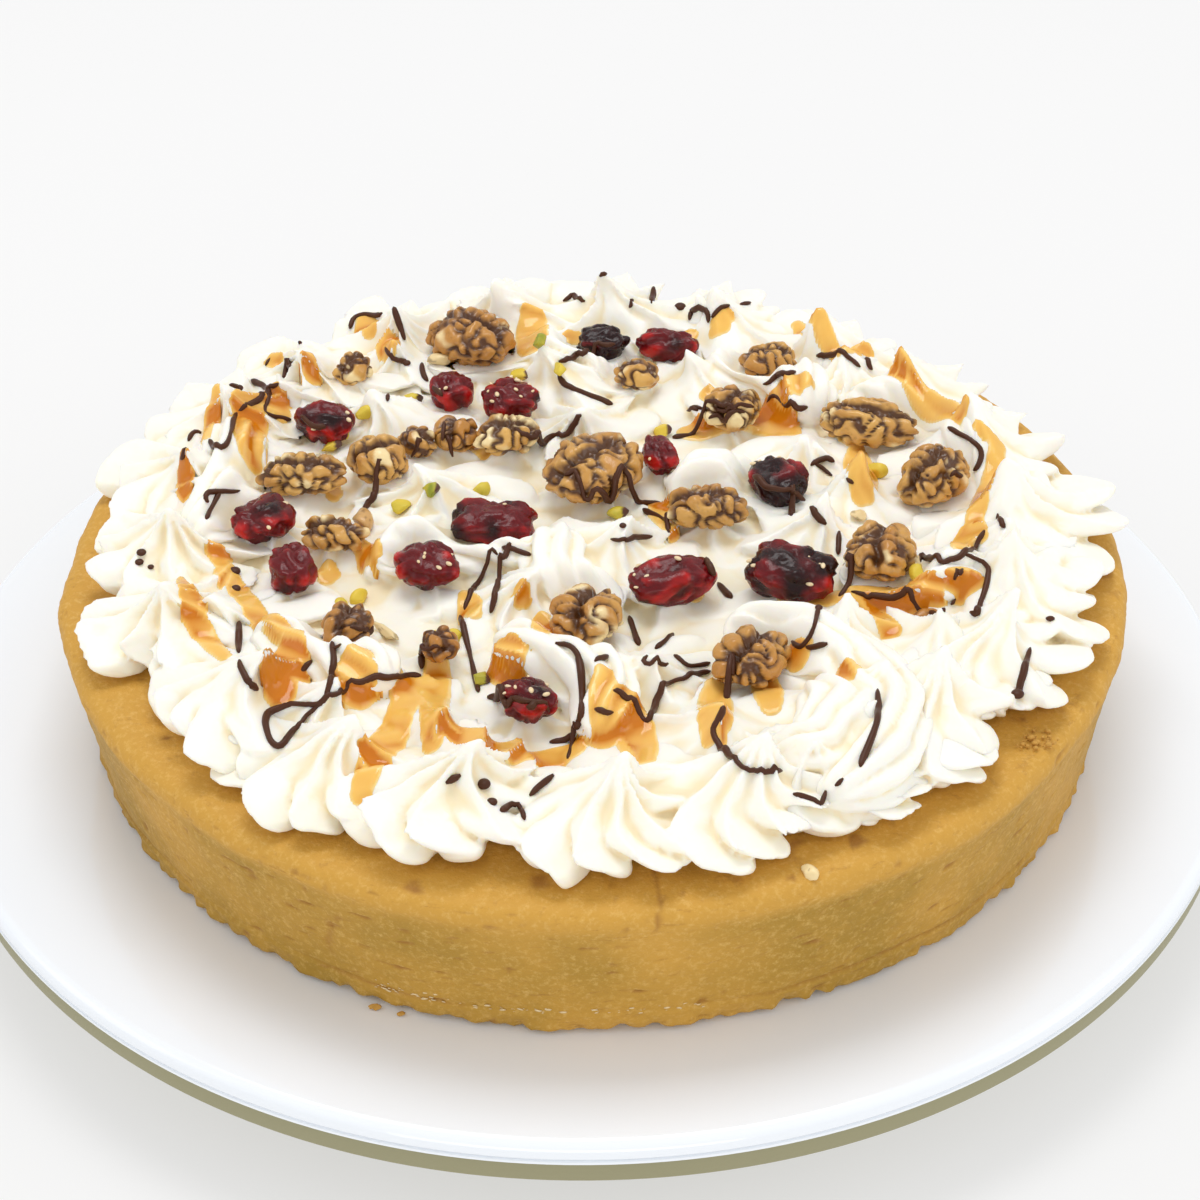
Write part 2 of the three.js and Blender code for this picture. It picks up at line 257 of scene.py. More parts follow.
seat = PLATE["top"] - PLATE["thick"]
plate_edge = PLATE["radius"]
stand_piece("plate", "stand_plate", [
    [HUB, seat],
    [plate_edge - 1.0, seat],
    [plate_edge - 0.6, seat - 0.75],
    [plate_edge - 0.1, seat - 0.6],
    [plate_edge - 0.05, seat + 0.1],
    [plate_edge - 0.9, seat + 0.45],
    *rounded(plate_edge, seat + 2.1, 0.8, -70, 0, 5),
    *rounded(plate_edge, PLATE["top"], PLATE["round"], 0, 90, 12),
    [plate_edge - 9, PLATE["top"]],
    [HUB, PLATE["top"]],
], glaze)
rim_edge = plate_edge - RIM["inset"]
rim_top = seat - SEAM
rim_foot = rim_top - RIM["height"]
stand_piece("plate_rim", "stand_rim", [
    [HUB, rim_foot],
    [rim_edge - RIM["chamfer"] - 1, rim_foot],
    [rim_edge - RIM["chamfer"], rim_foot + 0.3],
    [rim_edge, rim_foot + RIM["chamfer"] + 0.2],
    [rim_edge, rim_top - 0.9],
    [rim_edge - 0.3, rim_top - 0.4],
    [rim_edge - 1.0, rim_top],
    [HUB, rim_top],
], band)
foot_top = rim_foot - SEAM
stand_piece("foot_ring", "stand_foot", [
    [HUB, 0],
    [FOOT["radius"] - 1.2, 0],
    [FOOT["radius"], 1.2],
    [FOOT["radius"] - FOOT["flare"] * 0.7, foot_top * 0.6],
    [FOOT["radius"] - FOOT["flare"], foot_top],
    [HUB, foot_top],
], band)

# ------------------------------------------------------------------------------------------ crust
# A shortcrust case, pressed into a ring mould by hand and baked to a golden tan: an upright side
# that widens to a thick rounded rim, wavers a little and is grained, cracked and crumbly at its foot.
CRUST = {"top": 130.0, "base": 123.6, "height": 39.5, "round": 4.0, "waver": 0.9}
CRUST_BULGE = 188  # degrees round from the right, where the dough was squeezed out
CRUST_CRACK = 275.6  # degrees, where a hairline crack runs down from the rim
CRUST_WRINKLE = 242.6  # degrees, where the dough was folded a little in the mould
CRUST_COLUMNS = 760
CRUST_GOLD = (0.60, 0.32, 0.048, 1)
CRUST_TAN = (0.375, 0.212, 0.022, 1)
CRUST_PALE = (0.85, 0.58, 0.20, 1)
CRUST_BROWN = (0.30, 0.12, 0.02, 1)


def noise(points, size, seed):
    """Smooth noise from about -1 to 1 at each point, in lumps about as wide as size."""
    place = np.asarray(points, float) / size + seed * 17.31
    cell = np.floor(place).astype(np.int64)
    offset = place - cell
    fade = offset ** 3 * (offset * (offset * 6 - 15) + 10)
    total = np.zeros(place.shape[:-1])
    for corner in itertools.product((0, 1), repeat=3):
        key = (cell + corner) * (73856093, 19349663, 83492791)
        code = (key[..., 0] ^ key[..., 1] ^ key[..., 2]) & 0x7FFFFFFF
        code = (code * 48271) % 0x7FFFFFFF
        slope = np.stack([code & 1023, (code >> 10) & 1023, (code >> 20) & 1023], -1) / 511.5 - 1
        weight = np.where(np.array(corner) == 1, fade, 1 - fade).prod(-1)
        total += weight * (slope * (offset - corner)).sum(-1)
    return total * 1.6


def smoothly(value, low, high):
    share = np.clip((value - low) / (high - low), 0, 1)
    return share * share * (3 - 2 * share)


def crust_waver(angle):
    """How far the side stands out at an angle round the case."""
    waves = np.sin(3 * angle + 0.6) + 0.6 * np.sin(7 * angle + 2) + 0.4 * np.sin(13 * angle)
    away = np.angle(np.exp(1j * (angle - math.radians(CRUST_BULGE))))
    return CRUST["waver"] * waves * 0.6 + 2.2 * np.exp(-((away / 0.09) ** 2))


def add_attribute(piece, name, values):
    """Gives every point of a piece a number that its material can read."""
    layer = piece.data.attributes.new(name, "FLOAT", "POINT")
    layer.data.foreach_set("value", np.asarray(values, np.float32))


def side_radius(z):
    return CRUST["base"] + (CRUST["top"] - CRUST["base"]) / CRUST["height"] * z


foot_part = [[HUB, 0.0], [100, 0.0], [CRUST["base"] - 2.2, 0.0], [CRUST["base"] - 0.4, 0.5]]
foot_part += [[side_radius(z) + 0.35, z] for z in (1.2, 2.0, 2.8, 3.6, 4.4, 5.2, 5.8)]
side_part = [[side_radius(z), z] for z in np.arange(6.4, 33.6, 0.62)]
top_z = CRUST["height"]
rim_part = rounded(CRUST["top"], top_z, CRUST["round"], 0, 90, 12)
lid_part = [[r, top_z] for r in (124, 122, 120, 118, 116, 114, 112, 108, 104, 96, HUB)]
rings = turned(foot_part + side_part + rim_part + lid_part, CRUST_COLUMNS)
angle = np.arctan2(rings[..., 1], rings[..., 0])
radius = np.hypot(rings[..., 0], rings[..., 1])
height = rings[..., 2].copy()
on_side = np.clip((radius - 100) / 24, 0, 1)
grow = crust_waver(angle) * on_side * (0.35 + 0.65 * height / top_z)
lump = noise(rings, 11, 1) * 0.42 + noise(rings, 4.5, 2) * 0.2
grain = noise(rings, 1.9, 3) * 0.11 + noise(rings, 1.1, 4) * 0.07
pit = np.clip(noise(rings, 3.3, 5) - 0.6, 0, 1) * -1.0
pit = pit - np.clip(noise(rings * (1, 1, 4.5), 6.5, 7) - 0.5, 0, 1) * 1.3
crease_wander = 6.4 + 0.5 * np.sin(5 * angle + 1) + 0.4 * np.sin(17 * angle)
crease_come_and_go = 0.45 + 0.55 * np.sin(7 * angle + 2.4 + np.sin(3 * angle))
crease = -0.5 * np.exp(-((height - crease_wander) / 0.55) ** 2) * crease_come_and_go
crumble = noise(rings * (1, 1, 0.5), 3.6, 6) * 1.5 * np.exp(-((height - 1.2) / 2.2) ** 2)
degrees_round = np.degrees(angle) % 360
crack_at = CRUST_CRACK + 0.3 * np.sin(height / 1.9) + 0.2 * np.sin(height * 1.3)
crack = -0.4 * np.exp(-((degrees_round - crack_at) / 0.22) ** 2) * smoothly(height, 30, 37)
wrinkle_at = CRUST_WRINKLE + 0.5 * np.sin(height / 3)
wrinkle = -0.5 * np.exp(-((degrees_round - wrinkle_at) / 0.45) ** 2) * np.exp(-((height - 18) / 8) ** 2)
rough = lump + grain + pit + crease + crumble + crack + wrinkle
outward = 1 - smoothly(height, 36.5, 39.5) * 0.5
spread = 1 + (grow + rough * on_side * outward) / np.maximum(radius, 1)
rings[..., :2] *= spread[..., None]
rim_wave = 0.35 * np.sin(5 * angle + 0.5) + 0.25 * np.sin(11 * angle + 2)
on_rim = np.clip((height - 34) / 5.5, 0, 1) * np.clip(radius / 110, 0, 1) ** 8
rings[..., 2] += on_rim * (lump * 0.7 + grain + rim_wave)
low_edge = np.clip(1 - height / 2.5, 0, 1) * (radius > 118)
rings[..., 2] += low_edge * np.clip(-crumble, 0, 1.2) * 1.5
crust = mesh_object("crust", *skin(rings + TORTE_AT))
shape = np.append(rings[..., 2].ravel(), [0.0, top_z])
# Painted shade: the pits, the grain's hollows, the crease, the crack and the wrinkle, darkened by their
# depth.
hollow = np.clip(-pit, 0, 1) + np.clip(-grain, 0, 1) * 1.5 + np.clip(-crease, 0, 1) * 0.7
hollow = np.append(hollow - crack - wrinkle * 0.6, [0, 0])
add_attribute(crust, "hollow", np.clip(hollow, 0, 1))
add_attribute(crust, "level", shape / top_z)

pastry, nodes, links, shader = new_material("baked_pastry")


def node(kind, **values):
    """A new node of the material in hand, with some of its inputs set by name."""
    made = nodes.new(kind)
    for key, value in values.items():
        made.inputs[key.replace("_", " ")].default_value = value
    return made


def mixed(factor, low, high):
    """The mix of two colours or sockets by a factor or a socket, in the material in hand."""
    made = nodes.new("ShaderNodeMix")
    made.data_type = "RGBA"
    for key, value in (("Factor", factor), ("A", low), ("B", high)):
        kind = "VALUE" if key == "Factor" else "RGBA"
        socket = next(s for s in made.inputs if (s.name, s.type, s.enabled) == (key, kind, True))
        if isinstance(value, bpy.types.NodeSocket):
            links.new(value, socket)
        else:
            socket.default_value = value
    return next(s for s in made.outputs if s.enabled)


def graded(value, stops):
    """A colour ramp over a socket, from (position, grey or colour) stops."""
    ramp = nodes.new("ShaderNodeValToRGB")
    links.new(value, ramp.inputs["Fac"])
    band_stops = ramp.color_ramp.elements
    while len(band_stops) < len(stops):
        band_stops.new(0.5)
    for stop, (place, colour) in zip(band_stops, stops):
        stop.position = place
        stop.color = (colour,) * 3 + (1,) if isinstance(colour, (int, float)) else colour
    return ramp.outputs["Color"]


def read(name):
    """The number that every point of the piece carries under that name."""
    reader = nodes.new("ShaderNodeAttribute")
    reader.attribute_name = name
    return reader.outputs["Fac"]


def speckle(size, detail=2.0, roughness=0.5, flat=1.0):
    """Noise over the object with lumps of about that size in metres, flattened that many times."""
    place = nodes.new("ShaderNodeTexCoord")
    level = nodes.new("ShaderNodeMapping")
    level.inputs["Scale"].default_value = (1, 1, flat)
    made = node("ShaderNodeTexNoise", Scale=0.5 / size, Detail=detail, Roughness=roughness)
    links.new(place.outputs["Object"], level.inputs["Vector"])
    links.new(level.outputs["Vector"], made.inputs["Vector"])
    return made.outputs["Fac"]


def bumped(heights, distance, strength):
    """Fine relief from (socket, share) pairs, on the shader in hand."""
    before = None
    for value, share in heights:
        bump = nodes.new("ShaderNodeBump")
        bump.inputs["Strength"].default_value = strength
        bump.inputs["Distance"].default_value = distance * share
        links.new(value, bump.inputs["Height"])
        if before:
            links.new(before, bump.inputs["Normal"])
        before = bump.outputs["Normal"]
    links.new(before, shader.inputs["Normal"])


# Painted light: the rim and the top are coloured a lighter gold than the side, for the light from above
# that falls more on them.
body = graded(read("level"), [(0.0, CRUST_TAN), (0.8, CRUST_TAN), (0.93, CRUST_GOLD), (1.0, CRUST_GOLD)])
body = mixed(graded(speckle(0.02), [(0.35, 0.0), (0.7, 1.0)]), body, CRUST_GOLD)
body = mixed(graded(speckle(0.0007, 3.0, 0.75), [(0.5, 0.0), (0.8, 0.5)]), body, CRUST_PALE)
body = mixed(graded(speckle(0.0045, 4.0, 0.7), [(0.45, 0.0), (0.75, 0.3)]), body, CRUST_GOLD)
body = mixed(graded(speckle(0.0030, 4.0, 0.7, 5.0), [(0.6, 0.0), (0.72, 0.42)]), body, CRUST_BROWN)
# Painted shade: the hollows are darkened towards brown.
body = mixed(graded(read("hollow"), [(0.08, 0.0), (0.5, 0.75)]), body, CRUST_BROWN)
links.new(body, shader.inputs["Base Color"])
set_shader(Roughness=0.62, Specular_IOR_Level=0.35)
bumped([(speckle(0.0009, 3.0, 0.7), 1.0), (speckle(0.0004, 2.0, 0.6), 0.5)], 0.0004, 0.6)
crust.data.materials.append(pastry)
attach(crust, "root")
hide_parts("crust")

# ----------------------------------------------------------------------------------- piped border
# Stiff cream, piped round the edge with a wide star nozzle: each drop is pressed out on the rim so
# that its lobes fold and bulge, then drawn up and in to a crisp bent tip.
CREAM_FLOOR = 39.8  # the underside of the cream
DROP = {"ring": 102.5, "radius": 22.6, "height": 19.5, "lobes": 10, "lean": 7.5}
# Each border drop: degrees round the torte from the right, and its size.
BORDER = [
    (181, 1.08), (198, 1.05), (217, 1.17), (235, 1.02), (252, 1.12), (270, 1.06), (287, 1.12),
    (302, 0.95), (315, 1.1), (331, 1.07), (345, 1.17), (1, 1.2), (17, 1.2), (34, 1.15), (51, 1.15),
    (68, 1.12), (85, 1.15), (101, 1.12), (118, 1.15), (134, 1.12), (150, 1.15), (166, 1.12),
]
# The outline of a drop from its foot to its tip: shares of its reach and of its height.
DROP_OUTLINE = np.array([
    (0, 0), (0.8, 0), (0.9, 0.05), (0.97, 0.13), (1.0, 0.22), (0.99, 0.31), (0.94, 0.39), (0.86, 0.45),
    (0.76, 0.485), (0.65, 0.515), (0.54, 0.555), (0.43, 0.615), (0.32, 0.695), (0.22, 0.79), (0.13, 0.89),
    (0.05, 0.97), (0, 1),
])
DROP_ROWS = 74
DROP_COLUMNS = 200
# How far the cream sags out of true: width of the waves, reach in x, y and z, and a seed.
SAGS = [(12, (1.7, 1.7, 0.9), 21), (5, (0.35, 0.35, 0.25), 25)]
CREAM_GRAIN = 0.62  # the cube size in which drops that touch are melted into one
BORDER_TRIANGLES = 185000
CREAM_WHITE = (0.97, 0.94, 0.85, 1)
# Painted shade: the two warmer, darker creams below are for the shade low down among the drops and in their
# creases.
CREAM_VALLEY_SHADE = (0.97, 0.90, 0.71, 1)
CREAM_CREASE_SHADE = (0.92, 0.77, 0.48, 1)


def chance(seed):
    """A repeatable number from 0 to 1 for each seed."""
    wave = math.sin(seed * 12.9898 + 4.1414) * 43758.5453
    return wave - math.floor(wave)


def jitter(seed, size):
    return (2 * chance(seed) - 1) * size


def star_drop(seed, reach, tall, lean, lobes):
    """The closed shape of one drop that stands on z = 0. At its foot it bulges out in toes of uneven
    length, with deep creases between them. Towards the tip a few of the toes run on as sharp folds with
    broad hollow faces between them, which wind up to the tip. The tip is drawn over towards +X."""
    hand = -1 if chance(seed + 0.5) > 0.25 else 1
    walk = np.linspace(0, len(DROP_OUTLINE) - 1, DROP_ROWS)
    share, rise = (np.interp(walk, range(len(DROP_OUTLINE)), line)[1:, None] for line in DROP_OUTLINE.T)
    angle = np.linspace(0, 2 * np.pi, DROP_COLUMNS, endpoint=False)[None, :]
    climb = np.clip((rise - 0.2) / 0.8, 0, 1)
    slant = 0.75 * (np.minimum(rise, 0.42) - 0.2)
    wound = angle - hand * (slant + (0.45 + 0.5 * chance(seed + 0.6)) * climb ** 0.6)
    wander = 0.5 * np.sin(wound + 6 * chance(seed + 0.1)) + 0.3 * np.sin(2 * wound + 6 * chance(seed + 0.2))
    phase = lobes / 2 * wound + wander * 1.9
    which = np.floor(phase / np.pi + 0.5).astype(int) % lobes
    length = np.array([0.55 + 0.65 * chance(seed * 7.7 + k * 1.3) for k in range(lobes)])[which]
    fold = np.array([0.12 + 1.0 * (chance(seed * 3.1 + k * 2.9) > 0.42) for k in range(lobes)])[which]
    lifted = np.array([chance(seed * 5.3 + k * 3.7) for k in range(lobes)])[which]
    hooked = np.array([jitter(seed * 9.1 + k * 4.1, 0.16) for k in range(lobes)])[which]
    toe = np.abs(np.cos(phase)) ** 0.85
    ridge = 1 - np.abs(np.sin(phase)) ** 0.7
    turn_over = smoothly(rise, 0.3, 0.52)
    shape = toe * length * (1 - turn_over) + ridge * fold * turn_over
    depth = 0.5 - 0.03 * smoothly(rise, 0.35, 0.6)
    uneven = 1 + 0.06 * np.sin(wound + 6 * chance(seed + 0.3))
    uneven = uneven + 0.06 * np.sin(3 * wound + 6 * chance(seed + 0.4))
    combed = 0.012 * np.cos(4 * phase) * turn_over * (1 - climb)
    radius = reach * share * (uneven + combed) * (1 - depth * (1 - shape))
    sagged = 0.06 * np.sin(2 * wound + 6 * chance(seed + 0.7)) * smoothly(rise, 0.05, 0.3) * (1 - rise)
    up = tall * (rise + sagged) + 2.4 * lifted * toe * smoothly(share, 0.5, 1.0) * (1 - turn_over)
    angle = angle + hooked * toe * smoothly(share, 0.6, 1.0) * (1 - turn_over)
    pull = climb ** 1.6
    sway = 2.5 * math.sin(seed * 2.3)
    x = radius * np.cos(angle) + lean * pull
    y = radius * np.sin(angle) + sway * pull ** 1.5
    return skin(np.stack([x, y, up], -1))


def rope(path, radius, teeth, depth, roll):
    """Rings of a ribbed rope along a path of points: a star section that rolls as it goes."""
    along = np.gradient(path, axis=0)
    along /= np.linalg.norm(along, axis=1, keepdims=True)
    side = np.cross(along, (0, 0, 1))
    side /= np.maximum(np.linalg.norm(side, axis=1, keepdims=True), 1e-6)
    up = np.cross(side, along)
    angle = np.linspace(0, 2 * np.pi, max(20, teeth * 10), endpoint=False)[None, :]
    rib = np.abs(np.cos((angle + roll[:, None]) * teeth / 2))
    reach = radius[:, None] * (1 + depth * (rib - 0.65))
    across = reach * np.cos(angle)
    rise = reach * np.sin(angle)
    return path[:, None, :] + across[..., None] * side[:, None, :] + rise[..., None] * up[:, None, :]


def turned_about(points, angle):
    c, s = math.cos(angle), math.sin(angle)
    x, y, z = points[..., 0], points[..., 1], points[..., 2]
    return np.stack([c * x - s * y, s * x + c * y, z], -1)


def joined(parts):
    """One set of points and faces from several."""
    verts, faces, start = [], [], 0
    for part_verts, part_faces in parts:
        verts.append(part_verts)
        faces.append(part_faces + start)
        start += len(part_verts)
    return np.concatenate(verts), np.concatenate(faces)


def applied(piece):
    """The piece with its modifiers made part of its mesh."""
    shown = piece.evaluated_get(bpy.context.evaluated_depsgraph_get())
    mesh = bpy.data.meshes.new_from_object(shown)
    piece.modifiers.clear()
    old = piece.data
    piece.data = mesh
    bpy.data.meshes.remove(old)
    return piece


def points_of(piece):
    """A piece's points in the torte's own millimetres."""
    co = np.empty(len(piece.data.vertices) * 3)
    piece.data.vertices.foreach_get("co", co)
    return co.reshape(-1, 3) / MM - TORTE_AT


def melted(name, parts, triangles):
    """Closed shapes that cross each other, melted into one skin of about that many triangles."""
    verts, faces = joined(parts)
    for width, sag, seed in SAGS:
        verts = verts + np.stack([noise(verts, width, seed + i) for i in range(3)], 1) * sag
    piece = mesh_object(name, verts + TORTE_AT, faces)
    melt = piece.modifiers.new("melt", "REMESH")
    melt.mode = "VOXEL"
    melt.voxel_size = CREAM_GRAIN * MM
    melt.use_smooth_shade = True
    soften = piece.modifiers.new("soften", "SMOOTH")
    soften.factor = 0.45
    soften.iterations = 1
    applied(piece)
    thin = piece.modifiers.new("thin", "DECIMATE")
    thin.ratio = min(1.0, triangles / (2 * len(piece.data.polygons)))
    applied(piece)
    piece.data.polygons.foreach_set("use_smooth", np.ones(len(piece.data.polygons), bool))
    return piece


parts = []
for i, (degrees, size) in enumerate(BORDER):
    at = math.radians(degrees)
    middle = (DROP["ring"] * math.cos(at), DROP["ring"] * math.sin(at), CREAM_FLOOR)
    tall = DROP["height"] * size * (1 + jitter(i + 49, 0.06))
    lean = DROP["lean"] * (1 + jitter(i + 20, 0.3))
    verts, faces = star_drop(i + 1, DROP["radius"] * size, tall, lean, DROP["lobes"])
    parts.append((turned_about(verts, at + math.pi / 2 + jitter(i + 80, 0.35)) + middle, faces))
border = melted("cream_border", parts, BORDER_TRIANGLES)

# ----------------------------------------------------------------------------------- piped middle
# Inside the border the same drops are piped close together over a thin spread bed, with a few ribbed
# ropes swung between them; where a nut or a berry was laid on, the cream is pressed flat under it.
BED = {"radius": 106.0, "height": 5.0}
INSIDE = {"radius": 26.0, "height": 18.0, "lean": 6.5, "lobes": 9}
# Each drop inside the ring: x and y from the torte's middle, and its size.
INSIDE_DROPS = [
    (22, -80, 1.05), (-38, 16, 0.9), (-86, -32, 1), (-64, -70, 1), (-38, -76, 0.9), (9, -57, 0.85),
    (60, -70, 1.1), (57, -44, 0.8), (80, -50, 0.95), (94, -14, 0.95), (-19, -26, 0.8), (3, -8, 0.9),
    (53, -3, 0.75), (66, 12, 0.7), (-94, 16, 0.9), (-87, 36, 0.85), (-50, 82, 0.85), (-8, 72, 0.8),
    (-53, 52, 0.85), (-1, 48, 0.85), (30, 70, 0.8), (55, 33, 0.85), (68, 64, 0.95), (92, 38, 0.95),
    (-45, -3, 0.8), (-80, 62, 0.9), (42, -90, 0.95), (-26, 98, 0.8), (34, 96, 0.8),
]
ROPE = {"radius": 8.6, "teeth": 9, "height": 8.6}
# Each rope: the places it goes through, from the torte's middle.
ROPES = [
    [(-24, -50), (-8, -54), (2, -66), (0, -82)], [(30, -42), (52, -52), (66, -70), (62, -92)],
    [(-54, -14), (-32, -6), (-12, -14)], [(68, 62), (87, 47), (98, 24)],
    [(-80, -44), (-62, -52), (-46, -66)], [(-97, -8), (-90, 18), (-94, 44)],
    [(60, -16), (76, -24), (95, -20)], [(-44, 76), (-16, 82), (6, 72)], [(18, 14), (36, 20), (52, 10)],
    [(6, -34), (-8, -22), (-12, -4)], [(30, 78), (50, 66), (58, 48)],
    [(40, -52), (57, -58), (66, -74), (62, -92), (50, -104)],
    [(48, -66), (54, -76), (50, -88), (38, -92)],
]
TOPPINGS = [name for name in frame["nodes"] if name.startswith(("walnut_", "cranberry_"))]
SEAT = 0.5  # how much of a topping's half height the cream holds
# The drop under a topping: how much wider it is, its widest reach, its height to the seat, and its lobes.
PAD = {"wider": 9.0, "widest": 22.0, "rise": 1.3, "lobes": 7}
PRESSED = (0.9, 1.7)  # the cream is flat to the first and free from the second, in half sizes of a topping
MIDDLE_TRIANGLES = 190000
# How the creases of the painted shade are found: rounds of smoothing, and the depth at which that shade is
# full.
CREASE_SHADE_ROUNDS = 14
CREASE_SHADE_DEPTH = 0.7


def room_of(topping):
    """The middle and half size of a topping, in the torte's millimetres."""
    low, high = (np.array(corner) / MM - TORTE_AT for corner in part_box(topping))
    return (low + high) / 2, (high - low) / 2


def seat_of(topping):
    """The middle and half size of a topping, and the level at which the cream holds it."""
    at, size = room_of(topping)
    return at, size, at[2] - size[2] * (1 - SEAT)


def along_line(route, step):
    """Points about a step apart on a smooth line through those of a route."""
    route = np.array(route, float)
    ends = np.concatenate([[2 * route[0] - route[1]], route, [2 * route[-1] - route[-2]]])
    points = []
    for k in range(len(route) - 1):
        p0, p1, p2, p3 = ends[k:k + 4]
        count = max(2, int(np.linalg.norm(p2 - p1) / step))
        for t in np.linspace(0, 1, count, endpoint=False):
            points.append(0.5 * (2 * p1 + (p2 - p0) * t + (2 * p0 - 5 * p1 + 4 * p2 - p3) * t * t
                                 + (3 * p1 - p0 - 3 * p2 + p3) * t ** 3))
    return np.array(points + [route[-1]])


bed = turned([[30, 0], [BED["radius"], 0], [BED["radius"], 2], [BED["radius"] - 6, BED["height"]],
              *[[r, BED["height"]] for r in range(96, 28, -4)]], 160)
on_bed = (bed[..., 2] > 5)
ribs = noise(bed * (1, 1, 0), 16, 31)
bed[..., 2] += on_bed * (2.2 * ribs + 1.0 * np.sin(ribs * 14))
parts = [skin(bed + (0, 0, CREAM_FLOOR))]

for i, topping in enumerate(TOPPINGS):
    at, size, seat_level = seat_of(topping)
    reach = min(PAD["widest"], (size[0] + size[1]) / 2 + PAD["wider"])
    verts, faces = star_drop(i + 300.3, reach, (seat_level - CREAM_FLOOR) * PAD["rise"], 0.0, PAD["lobes"])
    parts.append((turned_about(verts, 6.28 * chance(i + 310)) + (at[0], at[1], CREAM_FLOOR), faces))
for i, (x, y, size) in enumerate(INSIDE_DROPS):
    tall = INSIDE["height"] * (1 + jitter(i + 150, 0.1))
    verts, faces = star_drop(i + 200, INSIDE["radius"] * size, tall, INSIDE["lean"], INSIDE["lobes"])
    toward = math.atan2(y, x) + math.pi / 2 + jitter(i + 180, 1)
    parts.append((turned_about(verts, toward) + (x, y, CREAM_FLOOR), faces))

for i, route in enumerate(ROPES):
    ground = along_line(route, 0.9)
    s = np.linspace(0, 1, len(ground))
    z = CREAM_FLOOR + ROPE["height"] + 1.2 * np.sin(5 * s + i)
    radius = ROPE["radius"] * np.sqrt(np.clip(1 - np.abs(2 * s - 1) ** 5, 0.02, 1))
    parts.append(skin(rope(np.column_stack([ground, z]), radius, ROPE["teeth"], 0.32, 1.2 * s + i)))
middle = melted("cream_middle", parts, MIDDLE_TRIANGLES)

CREAM_PIECES = (border, middle)
for piece in CREAM_PIECES:
    points = points_of(piece)
    for topping in TOPPINGS:
        at, size, seat_level = seat_of(topping)
        off = np.hypot((points[:, 0] - at[0]) / (size[0] + 1), (points[:, 1] - at[1]) / (size[1] + 1))
        pressed = points[:, 2] > seat_level
        kept = smoothly(off, *PRESSED)
        points[pressed, 2] = seat_level + ((points[:, 2] - seat_level) * kept)[pressed]
    piece.data.vertices.foreach_set("co", ((points + TORTE_AT) * MM).ravel())
    piece.data.update()


def ray_tree(pieces):
    """A tree of the pieces' faces that a ray can be shot at, in the torte's millimetres."""
    verts, faces = joined([(points_of(piece), triangles_of(piece)) for piece in pieces])
    return BVHTree.FromPolygons(verts.tolist(), faces.tolist(), all_triangles=True)


def triangles_of(piece):
    """The corners of a piece's triangles."""
    piece.data.calc_loop_triangles()
    corners = np.empty(len(piece.data.loop_triangles) * 3, np.int32)
    piece.data.loop_triangles.foreach_get("vertices", corners)
    return corners.reshape(-1, 3)


def hollowness(piece, rounds):
    """How far each point lies below the smoothed surface round it, in millimetres. Crests are negative."""
    mesh = piece.data
    ends = np.empty(len(mesh.edges) * 2, np.int32)
    mesh.edges.foreach_get("vertices", ends)
    one, other = ends.reshape(-1, 2).T
    normals = np.empty(len(mesh.vertices) * 3)
    mesh.vertices.foreach_get("normal", normals)
    start = points_of(piece)
    count = np.bincount(one, minlength=len(start)) + np.bincount(other, minlength=len(start))
    smooth = start.copy()
    for _ in range(rounds):
        for axis in range(3):
            along = smooth[:, axis]
            total = np.bincount(one, along[other], len(start)) + np.bincount(other, along[one], len(start))
            smooth[:, axis] = 0.4 * along + 0.6 * total / np.maximum(count, 1)
    return ((smooth - start) * normals.reshape(-1, 3)).sum(1)


cream, nodes, links, shader = new_material("whipped_cream")
# Painted shade: the cream turns warmer and darker low down and in its creases.
tone = mixed(graded(read("valley"), [(0.2, 0.0), (1.0, 0.75)]), CREAM_WHITE, CREAM_VALLEY_SHADE)
tone = mixed(graded(read("crease"), [(0.1, 0.0), (0.85, 0.8)]), tone, CREAM_CREASE_SHADE)
links.new(tone, shader.inputs["Base Color"])
set_shader(Roughness=0.4, Specular_IOR_Level=0.4, Subsurface_Weight=0.4, Subsurface_Radius=(1.0, 0.8, 0.5),
           Subsurface_Scale=0.002)
bumped([(speckle(0.0012, 2.0), 1.0)], 0.00012, 0.5)
for piece in CREAM_PIECES:
    points = points_of(piece)
    # How low and how deep in a crease each point lies; these set the painted shade.
    add_attribute(piece, "valley", np.clip(1 - (points[:, 2] - CREAM_FLOOR) / 10, 0, 1))
    add_attribute(piece, "crease", np.clip(hollowness(piece, CREASE_SHADE_ROUNDS) / CREASE_SHADE_DEPTH, 0, 1))
    piece.data.materials.append(cream)
    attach(piece, "root")
    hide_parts("piped_cream")

# ---------------------------------------------------------------------------------------- walnuts
# Walnut halves and broken bits: a domed kernel with a furrow down the middle and winding folds, in
# golden tan skin with dark veins and painted shade in the folds and the furrow; where it broke, the pale
# flesh shows. They are pressed into the cream.
WALNUT_TAN = (0.46, 0.195, 0.034, 1)
WALNUT_LIGHT = (0.74, 0.44, 0.12, 1)
WALNUT_DARK = (0.075, 0.022, 0.005, 1)
WALNUT_FLESH = (0.86, 0.68, 0.36, 1)
